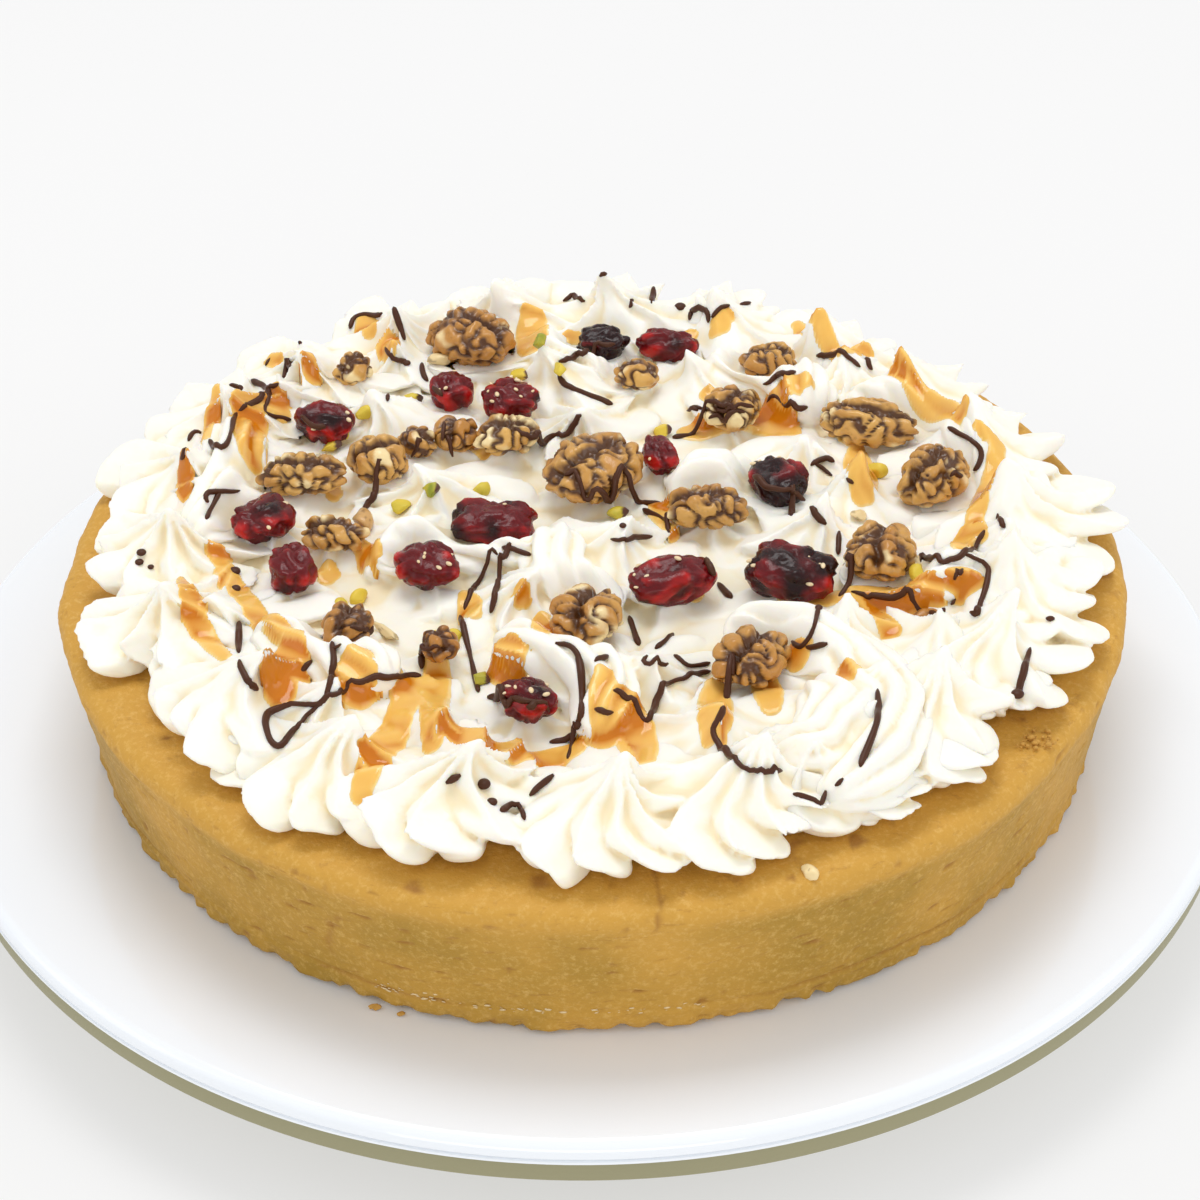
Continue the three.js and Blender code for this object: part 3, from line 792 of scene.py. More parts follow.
# Each piece: length, width, height, turn in degrees, how dark it is, and its share of pale flesh.
WALNUTS = {
    "half_middle": (29, 22, 15, 40, 0.45, 0.15),
    "half_back": (26, 22, 15, -30, 0.8, 0.1),
    "chip_back_left": (13, 10, 9, 40, 0.15, 0.5),
    "pair_dark": (14, 12, 10, 80, 0.6, 0.1),
    "pair_light": (19, 13, 11, 5, 0.15, 0.5),
    "half_left": (24, 15, 11, 0, 0.2, 0.3),
    "round_left": (17, 16, 13, 20, 0.3, 0.2),
    "corner_left": (12, 10, 9, -40, 0.45, 0.1),
    "wedge_left": (19, 11, 9, -15, 0.3, 0.3),
    "round_back": (13, 12, 9, 0, 0.1, 0.5),
    "half_glazed": (17, 14, 10, 10, 0.4, 0.1),
    "chunk_right": (16, 15, 12, 60, 0.2, 0.4),
    "half_right": (28, 18, 13, -20, 0.25, 0.3),
    "half_upright": (24, 16, 17, 50, 0.4, 0.3),
    "three_lobes": (22, 13, 12, 0, 0.4, 0.3),
    "half_front_right": (22, 19, 15, 75, 0.5, 0.15),
    "half_pale": (22, 17, 13, 70, 0.5, 0.4),
    "half_front": (23, 19, 13, 60, 0.6, 0.1),
    "dark_front_left": (16, 13, 11, 80, 0.9, 0.1),
    "dark_nib": (12, 10, 9, 110, 1.0, 0.05),
}
LARGE_WALNUT = 18  # a longer piece than this has more folds to show
WALNUT_TRIANGLES = {True: 9500, False: 5000}  # of a large piece and of the others
FIT = 0.7  # how far a topping is stretched towards the size of its solid


def fitted(points, size):
    """Points about their middle, stretched most of the way to a half size."""
    return points * (size / np.maximum(np.abs(points).max(0), 1e-6)) ** FIT


def ball(steps):
    """Points and triangles of an even ball of radius 1."""
    form = bmesh.new()
    bmesh.ops.create_icosphere(form, subdivisions=steps, radius=1)
    verts = np.array([v.co[:] for v in form.verts])
    faces = np.array([[v.index for v in f.verts] for f in form.faces])
    form.free()
    return verts, faces


def walnut_kernel(length, width, height, seed):
    """Points of a walnut piece about its middle, and how deep in a fold each one lies."""
    unit = BALL[0]
    size = np.array([length, width, height]) / 2
    points = unit * size * (1 + 0.13 * noise(unit, 0.9, seed))[:, None]
    round_to = np.arctan2(unit[:, 1], unit[:, 0])
    notch = np.exp(-((np.sin(round_to) / 0.22) ** 2)) * (1 - np.abs(unit[:, 2]))
    bend = np.stack([noise(points, 7, seed + 1), noise(points, 7, seed + 2), noise(points, 7, seed + 3)], 1)
    fold = noise(points / (3.6, 6.4, 4.6) + bend * 0.55, 1.0, seed + 4)
    seam = np.exp(-((fold / 0.17) ** 2))
    middle_line = points[:, 1] + 0.9 * np.sin(points[:, 0] / 3.2 + seed)
    furrow = np.exp(-((middle_line / 1.7) ** 2)) * smoothly(unit[:, 2], 0.0, 0.5)
    scale = min(1.0, length / 20)
    raised = 1.5 * (np.abs(fold) ** 0.6 - 0.45) - 1.0 * seam - 1.9 * furrow - 2.0 * notch
    raised += 0.3 * noise(points, 1.7, seed + 5) + 0.16 * noise(points, 0.9, seed + 6)
    points = points + unit * (raised * scale)[:, None]
    under = points[:, 2] < 0
    points[under, 2] *= 0.75
    depth = np.clip(0.75 * seam + 0.7 * furrow + 0.3 * noise(points, 2.2, seed + 7), 0, 1)
    return points, depth


BALL = ball(5)
walnut_skin, nodes, links, shader = new_material("walnut_skin")
tan = mixed(read("dark"), WALNUT_LIGHT, WALNUT_TAN)
tan = mixed(graded(speckle(0.005, 2.0), [(0.4, 0.0), (0.65, 0.8)]), tan, WALNUT_TAN)
tan = mixed(graded(speckle(0.0012, 3.0, 0.7), [(0.55, 0.0), (0.75, 0.35)]), tan, WALNUT_DARK)
tan = mixed(read("flesh"), tan, WALNUT_FLESH)
# Painted shade: the folds and the furrow are darkened by how deep each point lies in them.
tan = mixed(graded(read("fold"), [(0.12, 0.0), (0.6, 0.95)]), tan, WALNUT_DARK)
links.new(tan, shader.inputs["Base Color"])
set_shader(Roughness=0.3, Specular_IOR_Level=0.3, Coat_Weight=0.3, Coat_Roughness=0.08)
bumped([(speckle(0.0007, 3.0, 0.6), 1.0)], 0.0003, 0.6)


def thinned(piece, triangles):
    """Brings a piece down to about that many triangles. Its folds keep most of them."""
    thin = piece.modifiers.new("thin", "DECIMATE")
    thin.ratio = min(1.0, triangles / len(piece.data.polygons))
    applied(piece)
    piece.data.polygons.foreach_set("use_smooth", np.ones(len(piece.data.polygons), bool))


for i, (name, (length, width, height, turn, dark, flesh)) in enumerate(WALNUTS.items()):
    node_name = "walnut_" + name
    at, size = room_of(node_name)
    points, depth = walnut_kernel(length, width, height, i + 40)
    points = turned_about(points, math.radians(turn))
    points = fitted(points, size)
    kernel = mesh_object(node_name + "_kernel", points + at + TORTE_AT, BALL[1])
    # How deep in a fold each point lies, which sets the painted shade.
    add_attribute(kernel, "fold", depth)
    add_attribute(kernel, "dark", np.full(len(points), dark))
    bare = smoothly(noise(points, 6, i + 70), 0.75 - flesh * 1.6, 1.0 - flesh * 1.6)
    add_attribute(kernel, "flesh", bare * (depth < 0.5))
    thinned(kernel, WALNUT_TRIANGLES[length > LARGE_WALNUT])
    kernel.data.materials.append(walnut_skin)
    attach(kernel, "root")
    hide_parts(node_name)

# ------------------------------------------------------------------------------ dried cranberries
# Sweetened dried cranberries, most of them cut open: sunken, folded skins, almost black where they
# are thick and bright red at their thin edges and crests, which is painted light, with painted shade in
# their creases; sticky, with a few pale pips.
BERRY_RED = (0.125, 0.004, 0.006, 1)
BERRY_BRIGHT = (0.46, 0.014, 0.012, 1)
BERRY_BLACK = (0.018, 0.003, 0.003, 1)
PIP = (0.75, 0.52, 0.25, 1)
# Each berry: length, width, height, turn in degrees, squareness, how dark it is, and its pips.
CRANBERRIES = {
    "black_back": (15, 12, 9, 0, 2.0, 1.0, 0),
    "long_back": (18, 11, 9, -15, 2.2, 0.4, 0),
    "bright": (13, 13, 9, 30, 2.0, 0.0, 3),
    "sugared": (16, 15, 11, -40, 2.2, 0.3, 14),
    "left_back": (17, 13, 10, -20, 2.2, 0.5, 4),
    "left_round": (17, 15, 11, 40, 2.2, 0.3, 3),
    "left_low": (16, 11, 10, 100, 2.2, 0.25, 0),
    "square": (21, 14, 10, -5, 4.5, 0.4, 1),
    "round_middle": (16, 14, 11, -30, 2.2, 0.4, 6),
    "behind_half": (15, 9, 9, 110, 2.2, 0.1, 1),
    "dark_right": (18, 15, 11, 110, 2.2, 0.8, 4),
    "long_middle": (22, 14, 11, 15, 2.6, 0.35, 7),
    "large_dark": (22, 18, 13, -20, 2.1, 0.6, 7),
    "front": (14, 12, 11, -50, 2.4, 0.45, 10),
}


def dried_skin(length, width, height, square, seed):
    """Points of a sunken berry about its middle, and how thin its skin stands at each one. The second
    sets painted light and shade: bright red on the edges and crests, darkest in the creases.
    """
    unit = BERRY_BALL[0]
    size = np.array([length, width, height]) / 2
    boxy = (np.abs(unit[:, :2]) ** square).sum(1) ** (1 / square)
    flat = unit.copy()
    flat[:, :2] *= (np.hypot(unit[:, 0], unit[:, 1]) / np.maximum(boxy, 1e-6))[:, None]
    points = flat * size * (1 + 0.16 * noise(unit, 0.8, seed))[:, None]
    sunk = smoothly(unit[:, 2], 0.2, 1.0) * (0.9 + 0.6 * noise(unit, 0.7, seed + 1))
    points[:, 2] -= sunk * height * 0.12
    fold = noise(points / (1.3, 0.9, 1.0), 4.6, seed + 2)
    small = noise(points, 2.1, seed + 3)
    crease = np.exp(-((fold / 0.13) ** 2))
    raised = 0.8 * np.abs(fold) - 0.9 * crease + 0.4 * small + 0.2 * noise(points, 1.1, seed + 4)
    points = points + unit * raised[:, None]
    thin = smoothly(np.abs(fold) + 0.35 * small + 0.45 * (1 - np.abs(unit[:, 2])), 0.45, 1.0)
    return points, thin * (1 - crease)


BERRY_BALL = ball(4)
berry_skin, nodes, links, shader = new_material("dried_berry")
# Painted light and shade: the edges and crests are brighter red and the creases darkest.
red = mixed(read("thin"), BERRY_RED, BERRY_BRIGHT)
red = mixed(read("dark"), red, BERRY_BLACK)
links.new(red, shader.inputs["Base Color"])
set_shader(Roughness=0.24, Specular_IOR_Level=0.22, Coat_Weight=0.12, Coat_Roughness=0.06,
           Subsurface_Weight=0.4, Subsurface_Radius=(1.0, 0.08, 0.06), Subsurface_Scale=0.003)
bumped([(speckle(0.0011, 3.0, 0.6), 1.0)], 0.0006, 0.6)

pips = []
for i, (name, berry_row) in enumerate(CRANBERRIES.items()):
    length, width, height, turn, square, dark, pip_count = berry_row
    node_name = "cranberry_" + name
    at, size = room_of(node_name)
    points, thin = dried_skin(length, width, height, square, i + 90)
    points = turned_about(points, math.radians(turn))
    points = fitted(points, size) + at
    berry = mesh_object(node_name + "_skin", points + TORTE_AT, BERRY_BALL[1])
    # The mask of the painted light and shade.
    add_attribute(berry, "thin", thin)
    patch = smoothly(noise(points, 7, i + 120) + dark * 1.6 - 0.6, 0.0, 0.7)
    add_attribute(berry, "dark", patch)
    berry.data.materials.append(berry_skin)
    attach(berry, "root")
    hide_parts(node_name)
    upper = np.flatnonzero(BERRY_BALL[0][:, 2] > 0.25)
    for k in range(pip_count):
        spot = points[upper[int(chance(i * 31 + k) * len(upper))]]
        verts, faces = ball(2)
        grain = turned_about(verts * (0.85, 0.5, 0.4), math.pi * chance(i + k * 7.1))
        pips.append((grain * (0.6 + 0.6 * chance(i + k)) + spot, faces))
verts, faces = joined(pips)
pip_piece = mesh_object("berry_pips", verts + TORTE_AT, faces)
pip_skin, nodes, links, shader = new_material("pale_pip")
links.new(mixed(speckle(0.001), PIP, (0.9, 0.78, 0.55, 1)), shader.inputs["Base Color"])
set_shader(Roughness=0.35)
pip_piece.data.materials.append(pip_skin)
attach(pip_piece, "root")

# --------------------------------------------------------------------------------- pistachio bits
# Chopped pistachio, scattered by hand: angular bits, bright green to yellow where they were cut, with
# a little of the purple-brown skin left on some.
NIB_SIZE = 5.0
# Each bit: x and y from the torte's middle, and how yellow it is.
NIBS = [
    (-47, 59, 0.7), (-14, 70, 0.1), (-19, 67, 0.9), (-9, 65, 0.8), (-48, 9, 0.7), (-40, 10, 0.0),
    (-28, 16, 0.7), (-59, 48, 0.8), (18, 48, 1.0), (6, 8, 0.4), (-37, -41, 1.0), (-26, -58, 0.3),
    (-60, -29, 0.8), (65, 23, 0.5), (-65, 43, 0.8), (-67, 38, 0.9), (-56, -24, 1.0), (-33, -41, 0.9),
    (71, 23, 1.0), (77, -24, 0.9),
]
NIB_GREEN = (0.26, 0.30, 0.015, 1)
NIB_YELLOW = (0.80, 0.58, 0.05, 1)
NIB_SKIN = (0.10, 0.035, 0.02, 1)


def chopped(size, seed):
    """Points of an angular bit: a ball with flat cuts through it at every side."""
    verts = ball(3)[0]
    for k in range(7):
        across = np.array([jitter(seed + k * 3.1, 1), jitter(seed + k * 3.7, 1), jitter(seed + k * 4.3, 1)])
        across /= np.linalg.norm(across) + 1e-6
        beyond = verts @ across - (0.45 + 0.25 * chance(seed + k))
        verts = verts - np.clip(beyond, 0, None)[:, None] * across
    return verts * np.array([0.62, 0.46, 0.42]) * size


cream_tree = ray_tree(CREAM_PIECES)


def cream_level(x, y):
    """How high the cream stands at a place on the torte."""
    hit = cream_tree.ray_cast(Vector((x, y, 100)), Vector((0, 0, -1)))[0]
    return hit.z if hit else CREAM_FLOOR


parts, tints, skins = [], [], []
nib_faces = ball(3)[1]
for i, (x, y, yellow) in enumerate(NIBS):
    bit = turned_about(chopped(NIB_SIZE, i * 5.3 + 2), math.pi * chance(i + 0.4))
    parts.append((bit + (x, y, cream_level(x, y) + 1.1), nib_faces))
    tints.append(np.full(len(bit), yellow))
    skins.append((bit[:, 0] > 1.1) * (chance(i + 0.9) > 0.5))
verts, faces = joined(parts)
nibs = mesh_object("pistachio_bits", verts + TORTE_AT, faces)
add_attribute(nibs, "yellow", np.concatenate(tints))
add_attribute(nibs, "skin", np.concatenate(skins))
pistachio, nodes, links, shader = new_material("pistachio")
green = mixed(read("yellow"), NIB_GREEN, NIB_YELLOW)
green = mixed(graded(speckle(0.0015), [(0.4, 0.0), (0.7, 0.5)]), green, NIB_YELLOW)
links.new(mixed(read("skin"), green, NIB_SKIN), shader.inputs["Base Color"])
set_shader(Roughness=0.5)
bumped([(speckle(0.0006, 3.0, 0.6), 1.0)], 0.0002, 0.5)
nibs.data.materials.append(pistachio)
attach(nibs, "root")

# ----------------------------------------------------------------------------- broken bits, crumbs
# Small bits that broke off the walnuts lie between the toppings, and one pale flake on the rim. Crumbs
# of the crust lie where the rim was scuffed and beside the foot, where some flour has stuck as well.
# Each nut bit: x, y, length, width, turn in degrees and how dark it is.
NUT_BITS = [
    (-57, 2, 9, 6, 100, 0.8), (78, -37, 9, 4, 30, 1.0), (77, -17, 5, 4, 0, 0.1), (65, 4, 5, 4, 50, 0.1),
    (-49, -39, 11, 3, -50, 0.0), (-40, 76, 8, 5, 0, 0.1), (45.4, -117.5, 5, 3.6, 120, 0.0),
]
RIM_SCUFF = (99.0, -72.5)  # from the torte's middle
SIDE_CRUMB = 248.4  # degrees round from the right
FLOURED = (247.0, 281.0)
SCUFF_CRUMBS = 26
SIDE_CRUMBS = 4
FLOUR_SPECKS = 130
CRUMB_GOLD = (0.62, 0.33, 0.06, 1)
FLOUR = (0.84, 0.66, 0.38, 1)

parts, darkness = [], []
for i, (x, y, length, width, turn, dark) in enumerate(NUT_BITS):
    on_cream = cream_tree.ray_cast(Vector((x, y, 100)), Vector((0, 0, -1)))[0]
    bit = chopped(1.0, i * 3.3 + 40) * (length / 1.2, width / 0.9, width / 1.1)
    bit = bit + 0.25 * noise(bit, 2.2, i + 140)[:, None]
    rest_on = on_cream.z if on_cream else CRUST["height"]
    parts.append((turned_about(bit, math.radians(turn)) + (x, y, rest_on + width * 0.25), nib_faces))
    darkness.append(np.full(len(bit), dark))
verts, faces = joined(parts)
nut_bits = mesh_object("walnut_bits", verts + TORTE_AT, faces)
add_attribute(nut_bits, "dark", np.concatenate(darkness))
add_attribute(nut_bits, "flesh", 1 - np.concatenate(darkness))
add_attribute(nut_bits, "fold", 0.35 * (noise(verts, 1.6, 150) > 0.25))
nut_bits.data.materials.append(walnut_skin)
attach(nut_bits, "root")

crumb_verts, crumb_faces = ball(1)
parts, grains = [], []
for k in range(SCUFF_CRUMBS):
    spread = 5.5 * chance(k + 0.21) ** 0.7
    toward = 6.28 * chance(k + 0.57)
    size = 0.35 + 0.75 * chance(k + 0.83) ** 2
    place = (RIM_SCUFF[0] + spread * math.cos(toward), RIM_SCUFF[1] + spread * math.sin(toward) * 0.8,
             CRUST["height"] + 0.5 + size * 0.4)
    parts.append((crumb_verts * size * (1, 0.8, 0.7) + place, crumb_faces))
for k in range(SIDE_CRUMBS):
    at = math.radians(SIDE_CRUMB + jitter(k + 0.3, 1.6))
    out = CRUST["base"] + 1.6 + 1.8 * chance(k + 0.9)
    size = 1.1 + 1.2 * chance(k + 0.4)
    place = (out * math.cos(at), out * math.sin(at), size * 0.25)
    parts.append((chopped(size, k * 2.7 + 60) + place, nib_faces))
for k in range(FLOUR_SPECKS):
    at = math.radians(FLOURED[0] + (FLOURED[1] - FLOURED[0]) * chance(k + 0.13))
    up = 6.2 + jitter(k + 0.37, 1.3) + jitter(k + 0.59, 0.9)
    out = side_radius(up) + crust_waver(np.array(at)) * (0.35 + 0.65 * up / top_z) + 0.1
    size = 0.12 + 0.3 * chance(k + 0.71) ** 3
    place = (out * math.cos(at), out * math.sin(at), up)
    grains.append((turned_about(crumb_verts * size * (0.5, 2.4, 0.7), at) + place, crumb_faces))
for name, made, colour in (("crust_crumbs", parts, CRUMB_GOLD), ("flour_specks", grains, FLOUR)):
    verts, faces = joined(made)
    verts = verts + 0.12 * noise(verts, 0.8, 160)[:, None]
    crumbs = mesh_object(name, verts + TORTE_AT, faces)
    crumb_skin, nodes, links, shader = new_material(name + "_skin")
    shaded = [c * 0.8 for c in colour[:3]] + [1]
    links.new(mixed(speckle(0.0008), colour, shaded), shader.inputs["Base Color"])
    set_shader(Roughness=0.75)
    crumbs.data.materials.append(crumb_skin)
    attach(crumbs, "root")

# ---------------------------------------------------------------------------------------- caramel
# Caramel sauce, poured in thick streaks: it has run off the crests of the cream and lies in the
# valleys, thin and yellow at its edges and a deep glossy amber where it is pooled.
SAUCE_HALF = 124  # half the side of the square that the sheet is worked out over
SAUCE_STEP = 0.62  # and its cell
SAUCE_SPREAD = 0.62  # how far the sauce spreads from a streak's line, for each millimetre of its width
SAUCE_FILM = 0.3  # how thick the film over a crest is
SAUCE_POOL = 4.0  # a valley deeper than this isn't filled any further
SEEN_LEVEL = 54.0  # the level above the torte's underside at which the places were read off
# Each streak: its width and the line it follows, as seen from the camera on that level.
STREAKS = [
    (7, [(-40, -68), (-44, -85), (-50, -107)]), (10, [(-54, -58), (-54, -68)]),
    (8, [(-69, -50), (-70, -74)]), (7, [(-36, -56), (-35, -90)]),
    (8, [(-32, -85), (-20, -92), (-5, -93)]), (8, [(-22, -60), (-18, -64)]), (7, [(2, -65), (2, -90)]),
    (9, [(8, -75), (10, -96)]), (8, [(27, -70), (26, -86)]), (7, [(38, -68), (39, -78)]),
    (7, [(45, -59), (46, -62)]), (6, [(57, -63), (57, -67)]), (7, [(45, -36), (60, -36), (68, -50)]),
    (6, [(62, -34), (80, -34)]), (5, [(84, -30), (90, -32)]),
    (5, [(98, 36), (102, 28), (99, 15), (92, -5), (93, -12)]), (6, [(90, -10), (87, -16)]),
    (8, [(66, 24), (66, 6)]), (9, [(24, 34), (38, 42), (54, 58)]), (8, [(30, 52), (50, 34)]),
    (6, [(62, 35), (66, 28)]), (5, [(55, 88), (66, 75)]), (6, [(80, 66), (94, 44)]),
    (6, [(68, 75), (72, 73)]), (6, [(33, 85), (36, 92)]), (6, [(22, 78), (26, 82)]),
    (9, [(-16, 95), (-16, 76)]), (6, [(-6, 82), (-4, 80)]), (3.5, [(-98, 58), (-98, 34)]),
    (8, [(-84, 56), (-88, 42), (-86, 25)]), (5, [(-80, 47), (-80, 43)]), (5, [(-74, 67), (-74, 63)]),
    (6, [(-62, 92), (-60, 88)]), (6, [(-56, 83), (-54, 80)]), (6, [(-84, 72), (-84, 69)]),
    (4, [(-102, 20), (-100, 5)]), (6, [(-90, -17), (-85, -30), (-72, -47)]),
    (5, [(-97, -28), (-93, -40), (-84, -58)]), (6, [(-63, -23), (-63, -28)]),
    (5, [(-57, -12), (-52, -18)]), (5, [(-64, 10), (-64, 6)]), (6, [(-30, -35), (-28, -42)]),
    (5, [(-17, -33), (-17, -37)]), (6, [(-12, -45), (-12, -49)]), (6, [(-36, 36), (-26, 25)]),
    (6, [(15, 0), (18, -8)]), (5, [(23, -33), (23, -37)]), (6, [(40, -30), (44, -32)]),
]
AMBER_EDGE = (0.96, 0.76, 0.40, 1)
AMBER_THIN = (0.92, 0.55, 0.13, 1)
AMBER_THICK = (0.62, 0.19, 0.006, 1)
topping_pieces = [o for o in scene.objects if o.name.endswith(("_kernel", "_skin")) and o.type == "MESH"]
all_tree = ray_tree([*CREAM_PIECES, *topping_pieces])


def seen_place(x, y, tree):
    """Where a point that is seen at x, y on the reading level really lies on the torte."""
    ray = Vector((x, y, SEEN_LEVEL)) - Vector(eye)
    hit = tree.ray_cast(Vector(eye), ray.normalized())[0]
    return (hit.x, hit.y) if hit else (x, y)


def blurred(field, cells):
    """A field smoothed over that many cells each way."""
    reach = int(cells * 3)
    weight = np.exp(-0.5 * (np.arange(-reach, reach + 1) / cells) ** 2)
    weight /= weight.sum()
    for axis in (0, 1):
        padded = np.pad(field, [(reach, reach) if k == axis else (0, 0) for k in (0, 1)], mode="edge")
        field = np.apply_along_axis(lambda row: np.convolve(row, weight, "valid"), axis, padded)
    return field


lines = np.arange(-SAUCE_HALF, SAUCE_HALF + 0.1, SAUCE_STEP)
level = np.array([[cream_level(x, y) for x in lines] for y in lines])
plan = np.stack(np.meshgrid(lines, lines), -1)
poured = np.zeros(level.shape)
for width, route in STREAKS:
    route = np.array([seen_place(x, y, cream_tree) for x, y in route])
    legs = np.linalg.norm(np.diff(route, axis=0), axis=1)
    gone = np.concatenate([[0], np.cumsum(legs)]) / legs.sum()
    for k, (start, end) in enumerate(zip(route[:-1], route[1:])):
        run = end - start
        share = np.clip(((plan - start) @ run) / max(run @ run, 1e-6), 0, 1)
        away = np.linalg.norm(plan - start - share[..., None] * run, axis=-1)
        along = gone[k] + share * (gone[k + 1] - gone[k])
        taper = 0.62 + 0.42 * np.sqrt(np.sin(np.pi * np.clip(along, 0.02, 0.98)))
        poured = np.maximum(poured, 1 - away / (width * SAUCE_SPREAD * taper))
flat_plan = np.concatenate([plan, np.zeros(level.shape + (1,))], -1)
ragged = 1 + 0.45 * noise(flat_plan, 6, 61) + 0.2 * noise(flat_plan, 2.6, 62)
poured = smoothly(poured * ragged, 0.02, 0.42)
brim = blurred(level, 2.6 / SAUCE_STEP)
steep = np.hypot(*np.gradient(level, SAUCE_STEP))
steep = np.sqrt(1 + np.minimum(steep, 3) ** 2)
thickness = np.sqrt(poured) * (0.4 + np.clip(brim - 0.35 - level, 0, SAUCE_POOL) * 0.95)
film = level + SAUCE_FILM * smoothly(poured, 0.2, 0.8) * steep
sauce_top = np.maximum(blurred(level + thickness, 0.8 / SAUCE_STEP), film)
sauce_top = np.maximum(blurred(sauce_top, 0.5 / SAUCE_STEP), film - 0.08) - 0.75 * (1 - poured) ** 3
wet = (sauce_top > level - 0.6) & (poured > 0.02) & (level > CREAM_FLOOR + 2)


def sheet_between(top, under, inside):
    """A closed body between two height fields, over the cells whose corners are all inside."""
    cells = inside[:-1, :-1] | inside[1:, :-1] | inside[:-1, 1:] | inside[1:, 1:]
    rows, columns = top.shape
    number = np.arange(rows * columns).reshape(rows, columns)
    a, b, c, d = (number[:-1, :-1], number[:-1, 1:], number[1:, 1:], number[1:, :-1])
    quads = np.stack([a, b, c, d], -1)[cells]
    below = quads + rows * columns
    edges = {}
    for quad in quads:
        for k in range(4):
            edge = (quad[k], quad[(k + 1) % 4])
            if edge[::-1] in edges:
                del edges[edge[::-1]]
            else:
                edges[edge] = True
    rim = np.array(list(edges))
    walls = np.stack([rim[:, 0], rim[:, 0] + rows * columns, rim[:, 1] + rows * columns, rim[:, 1]], 1)
    faces = np.concatenate([quads, below[:, ::-1], walls])
    used, renumbered = np.unique(faces, return_inverse=True)
    verts = np.concatenate([np.dstack([plan, top]).reshape(-1, 3), np.dstack([plan, under]).reshape(-1, 3)])
    return verts[used], renumbered.reshape(faces.shape), used


verts, faces, used = sheet_between(sauce_top, np.minimum(level, sauce_top) - 0.7, wet)
sauce = mesh_object("caramel_sauce", verts + TORTE_AT, faces)
deep = np.tile(np.clip((sauce_top - level) / 1.6, 0, 1).ravel(), 2)
add_attribute(sauce, "deep", deep[used])
caramel, nodes, links, shader = new_material("caramel")
amber = mixed(graded(read("deep"), [(0.02, 0.0), (0.2, 1.0)]), AMBER_EDGE, AMBER_THIN)
amber = mixed(graded(read("deep"), [(0.15, 0.0), (0.8, 1.0)]), amber, AMBER_THICK)
links.new(amber, shader.inputs["Base Color"])
set_shader(Roughness=0.07, Specular_IOR_Level=0.35, Subsurface_Weight=0.18,
           Subsurface_Radius=(1.0, 0.5, 0.1), Subsurface_Scale=0.002)
sauce.data.materials.append(caramel)
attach(sauce, "root")

# -------------------------------------------------------------------------------------- chocolate
# Dark chocolate, drizzled last from a thin spout: fine broken lines that drape over the cream and the
# fruit, with a blob where the spout paused.
DRIZZLE = 0.72  # the half width of a line
DRIZZLE_STEP = 0.7  # between the rings of a line
DRIZZLE_GAP = 8.5  # a line breaks off where it would have to leap further than this
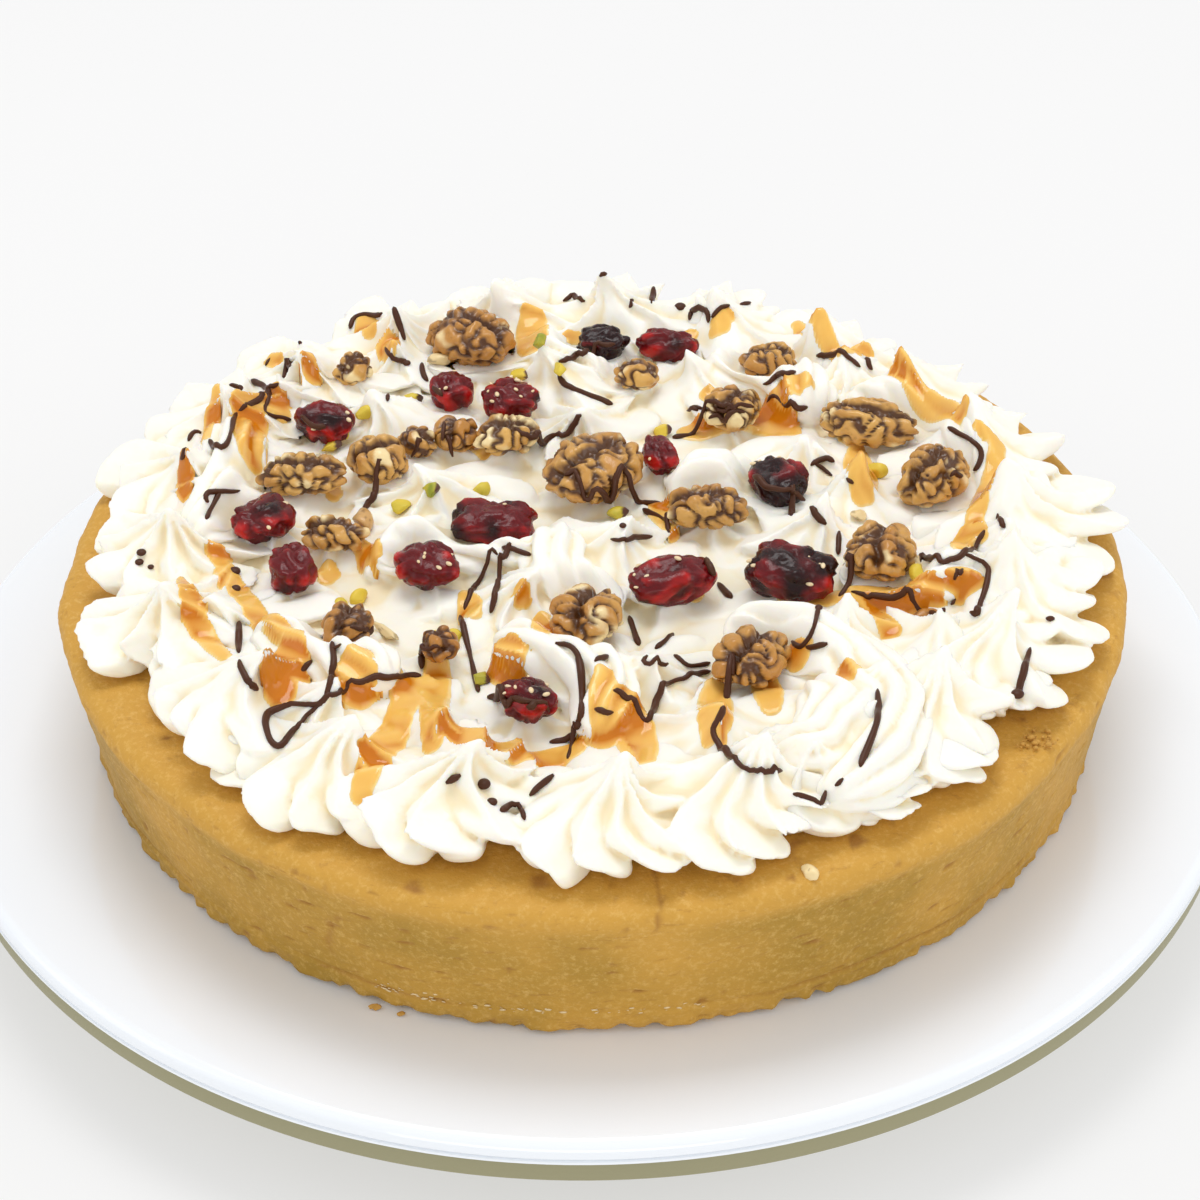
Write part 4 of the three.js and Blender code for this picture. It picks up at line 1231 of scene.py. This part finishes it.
# Each line, as seen from the camera on the reading level.
LINES = [
    [(-82, -45), (-80, -62), (-75, -72)],
    [(-39, -66), (-50, -67), (-57, -72), (-61, -76), (-66, -76), (-72, -79), (-72, -85), (-69, -91),
     (-65, -83), (-61, -76)],
    [(-60, -75), (-59, -62), (-60, -53)], [(-67, -66), (-64, -60)], [(-60, -56), (-54, -50), (-51, -47)],
    [(-39, -64), (-39, -56), (-35, -57)], [(-31, -43), (-28, -60), (-26, -72)],
    [(-24, -74), (-20, -76), (-18, -83), (-10, -86)], [(-9, -54), (-4, -58), (-3, -78), (-6, -96)],
    [(-10, -90), (-4, -89)], [(-23, -20), (-29, -35), (-30, -42)], [(-20, -14), (-22, -25), (-24, -43)],
    [(-22, -16), (-15, -19)], [(-13, -75), (-15, -81)], [(8, -44), (10, -55)], [(0, -61), (3, -59)],
    [(18, -51), (11, -61), (15, -65), (18, -59), (21, -63), (26, -62)],
    [(26, -65), (16, -70), (12, -82), (10, -82), (7, -75), (4, -72)], [(0, -79), (4, -80)],
    [(26, -18), (29, -31), (32, -37)], [(31, -67), (28, -80), (26, -89), (34, -101), (40, -101)],
    [(63, -72), (62, -83), (57, -99)], [(42, -108), (46, -114), (49, -107)], [(51, -106), (53, -103)],
    [(45, -54), (47, -57), (50, -50), (52, -41)], [(48, -57), (53, -55)],
    [(60, -20), (60, -31), (57, -37)], [(60, -35), (68, -38), (75, -43), (81, -43), (84, -38)],
    [(76, -27), (78, -20), (82, -23), (90, -18), (94, -10)], [(88, -20), (93, -26), (88, -44), (86, -40)],
    [(84, -34), (87, -26)], [(59, -10), (58, -20)], [(39, 7), (49, 6), (56, -8)], [(49, 10), (48, -3)],
    [(54, 18), (58, 22), (60, 20)], [(55, 20), (59, 14)], [(61, 16), (64, 10)],
    [(90, 36), (97, 26), (94, 15), (88, 12)], [(57, 70), (61, 71), (67, 71), (70, 65)],
    [(72, 70), (73, 63)], [(44, 55), (48, 61), (53, 63)], [(25, 45), (35, 46), (47, 44), (55, 46)],
    [(24, 43), (34, 36), (38, 31)], [(20, 32), (30, 34), (36, 33)], [(-9, 69), (-2, 74), (6, 78)],
    [(-9, 59), (-3, 54), (5, 48)], [(-20, 37), (-15, 32), (-8, 33), (-3, 37)],
    [(-7, -1), (0, 5), (5, 6), (10, 2), (20, 3)], [(4, -13), (14, -12)], [(12, 0), (17, -5), (18, -10)],
    [(-103, 22), (-101, 36), (-93, 29), (-91, 45), (-84, 54), (-79, 68)],
    [(-89, 61), (-84, 55), (-84, 45), (-77, 41)], [(-74, 38), (-68, 38)], [(-97, 60), (-92, 57)],
    [(-86, 68), (-85, 72)], [(-78, 82), (-78, 76)], [(-65, 86), (-64, 93), (-57, 95)],
    [(-54, 98), (-50, 80)], [(-55, 77), (-52, 70), (-49, 69)], [(-45, 69), (-44, 62), (-39, 52)],
    [(-53, 50), (-53, 57)], [(-94, 3), (-95, 8), (-87, 9)], [(-92, 9), (-94, -3)], [(-56, 0), (-52, 12)],
    [(-44, 22), (-43, 26)], [(-48, 21), (-43, 23)], [(-37, 27), (-35, 20)], [(-38, 30), (-38, 40)],
    [(-20, -113), (-17, -111), (-15, -116)], [(-14, -108), (-9, -101)], [(-32, -104), (-29, -101)],
    [(99, -57), (94, -74)], [(104, -46), (106, -46)], [(98, -3), (99, -9)], [(0, 110), (4, 115)],
    [(17, 110), (16, 99)], [(26, 90), (28, 96), (31, 94), (31, 88)], [(32, 90), (35, 97), (43, 99)],
    [(-8, 100), (-5, 104), (-2, 100)], [(10, 96), (11, 101)],
]
# Thick starts and blobs: x, y and half width.
BLOBS = [
    (-85, -25, 1.5), (-84, -32, 1.2), (-24, -104, 1.6), (-22, -110, 1.2), (94, -74, 1.5),
    (-108, -17, 1.2), (-108, -21, 1.1), (-105, -23, 0.8), (24, 103, 1.6), (7, -7, 0.9), (-49, 69, 1.1),
    (-92, 57, 1.2), (52, -41, 0.9),
]
COCOA = (0.055, 0.017, 0.006, 1)


def surface(x, y):
    """The topmost point of the torte at a place, or the crust's rim beside the cream."""
    hit = all_tree.ray_cast(Vector((x, y, 110)), Vector((0, 0, -1)))[0]
    return hit.z if hit else CRUST["height"]


parts = []
for i, route in enumerate(LINES):
    places = np.array([seen_place(x, y, all_tree) for x, y in along_line(route, 2.6)])
    jumps = np.flatnonzero(np.linalg.norm(np.diff(places, axis=0), axis=1) > DRIZZLE_GAP) + 1
    for stroke in np.split(places, jumps):
        if len(stroke) < 2:
            continue
        ground = along_line(stroke, DRIZZLE_STEP)
        z = np.array([surface(x, y) for x, y in ground])
        for _ in range(2):
            z = np.maximum(z, np.convolve(np.pad(z, 2, mode="edge"), np.full(5, 0.2), "valid"))
        path = np.column_stack([ground, z + DRIZZLE * 0.3])
        steps = np.arange(len(path))
        width = DRIZZLE * (1 + 0.3 * np.sin(steps * 0.23 + i) * np.sin(steps * 0.11 + 2 * i))
        width *= np.clip(np.minimum(steps + 0.8, len(path) - steps - 0.2) / 2.2, 0.3, 1)
        parts.append(skin(rope(path, width, 1, 0.0, 0 * width)[:, ::2]))
blob_verts, blob_faces = ball(3)
for x, y, half_width in BLOBS:
    x, y = seen_place(x, y, all_tree)
    blob = blob_verts * (half_width, half_width, half_width * 0.6) + (x, y, surface(x, y) + 0.2)
    parts.append((blob, blob_faces))
verts, faces = joined(parts)
drizzle = mesh_object("chocolate_drizzle", verts + TORTE_AT, faces)
chocolate, nodes, links, shader = new_material("dark_chocolate")
links.new(mixed(speckle(0.004), COCOA, [c * 1.5 for c in COCOA[:3]] + [1]), shader.inputs["Base Color"])
set_shader(Roughness=0.42, Specular_IOR_Level=0.25)
drizzle.data.materials.append(chocolate)
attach(drizzle, "root")
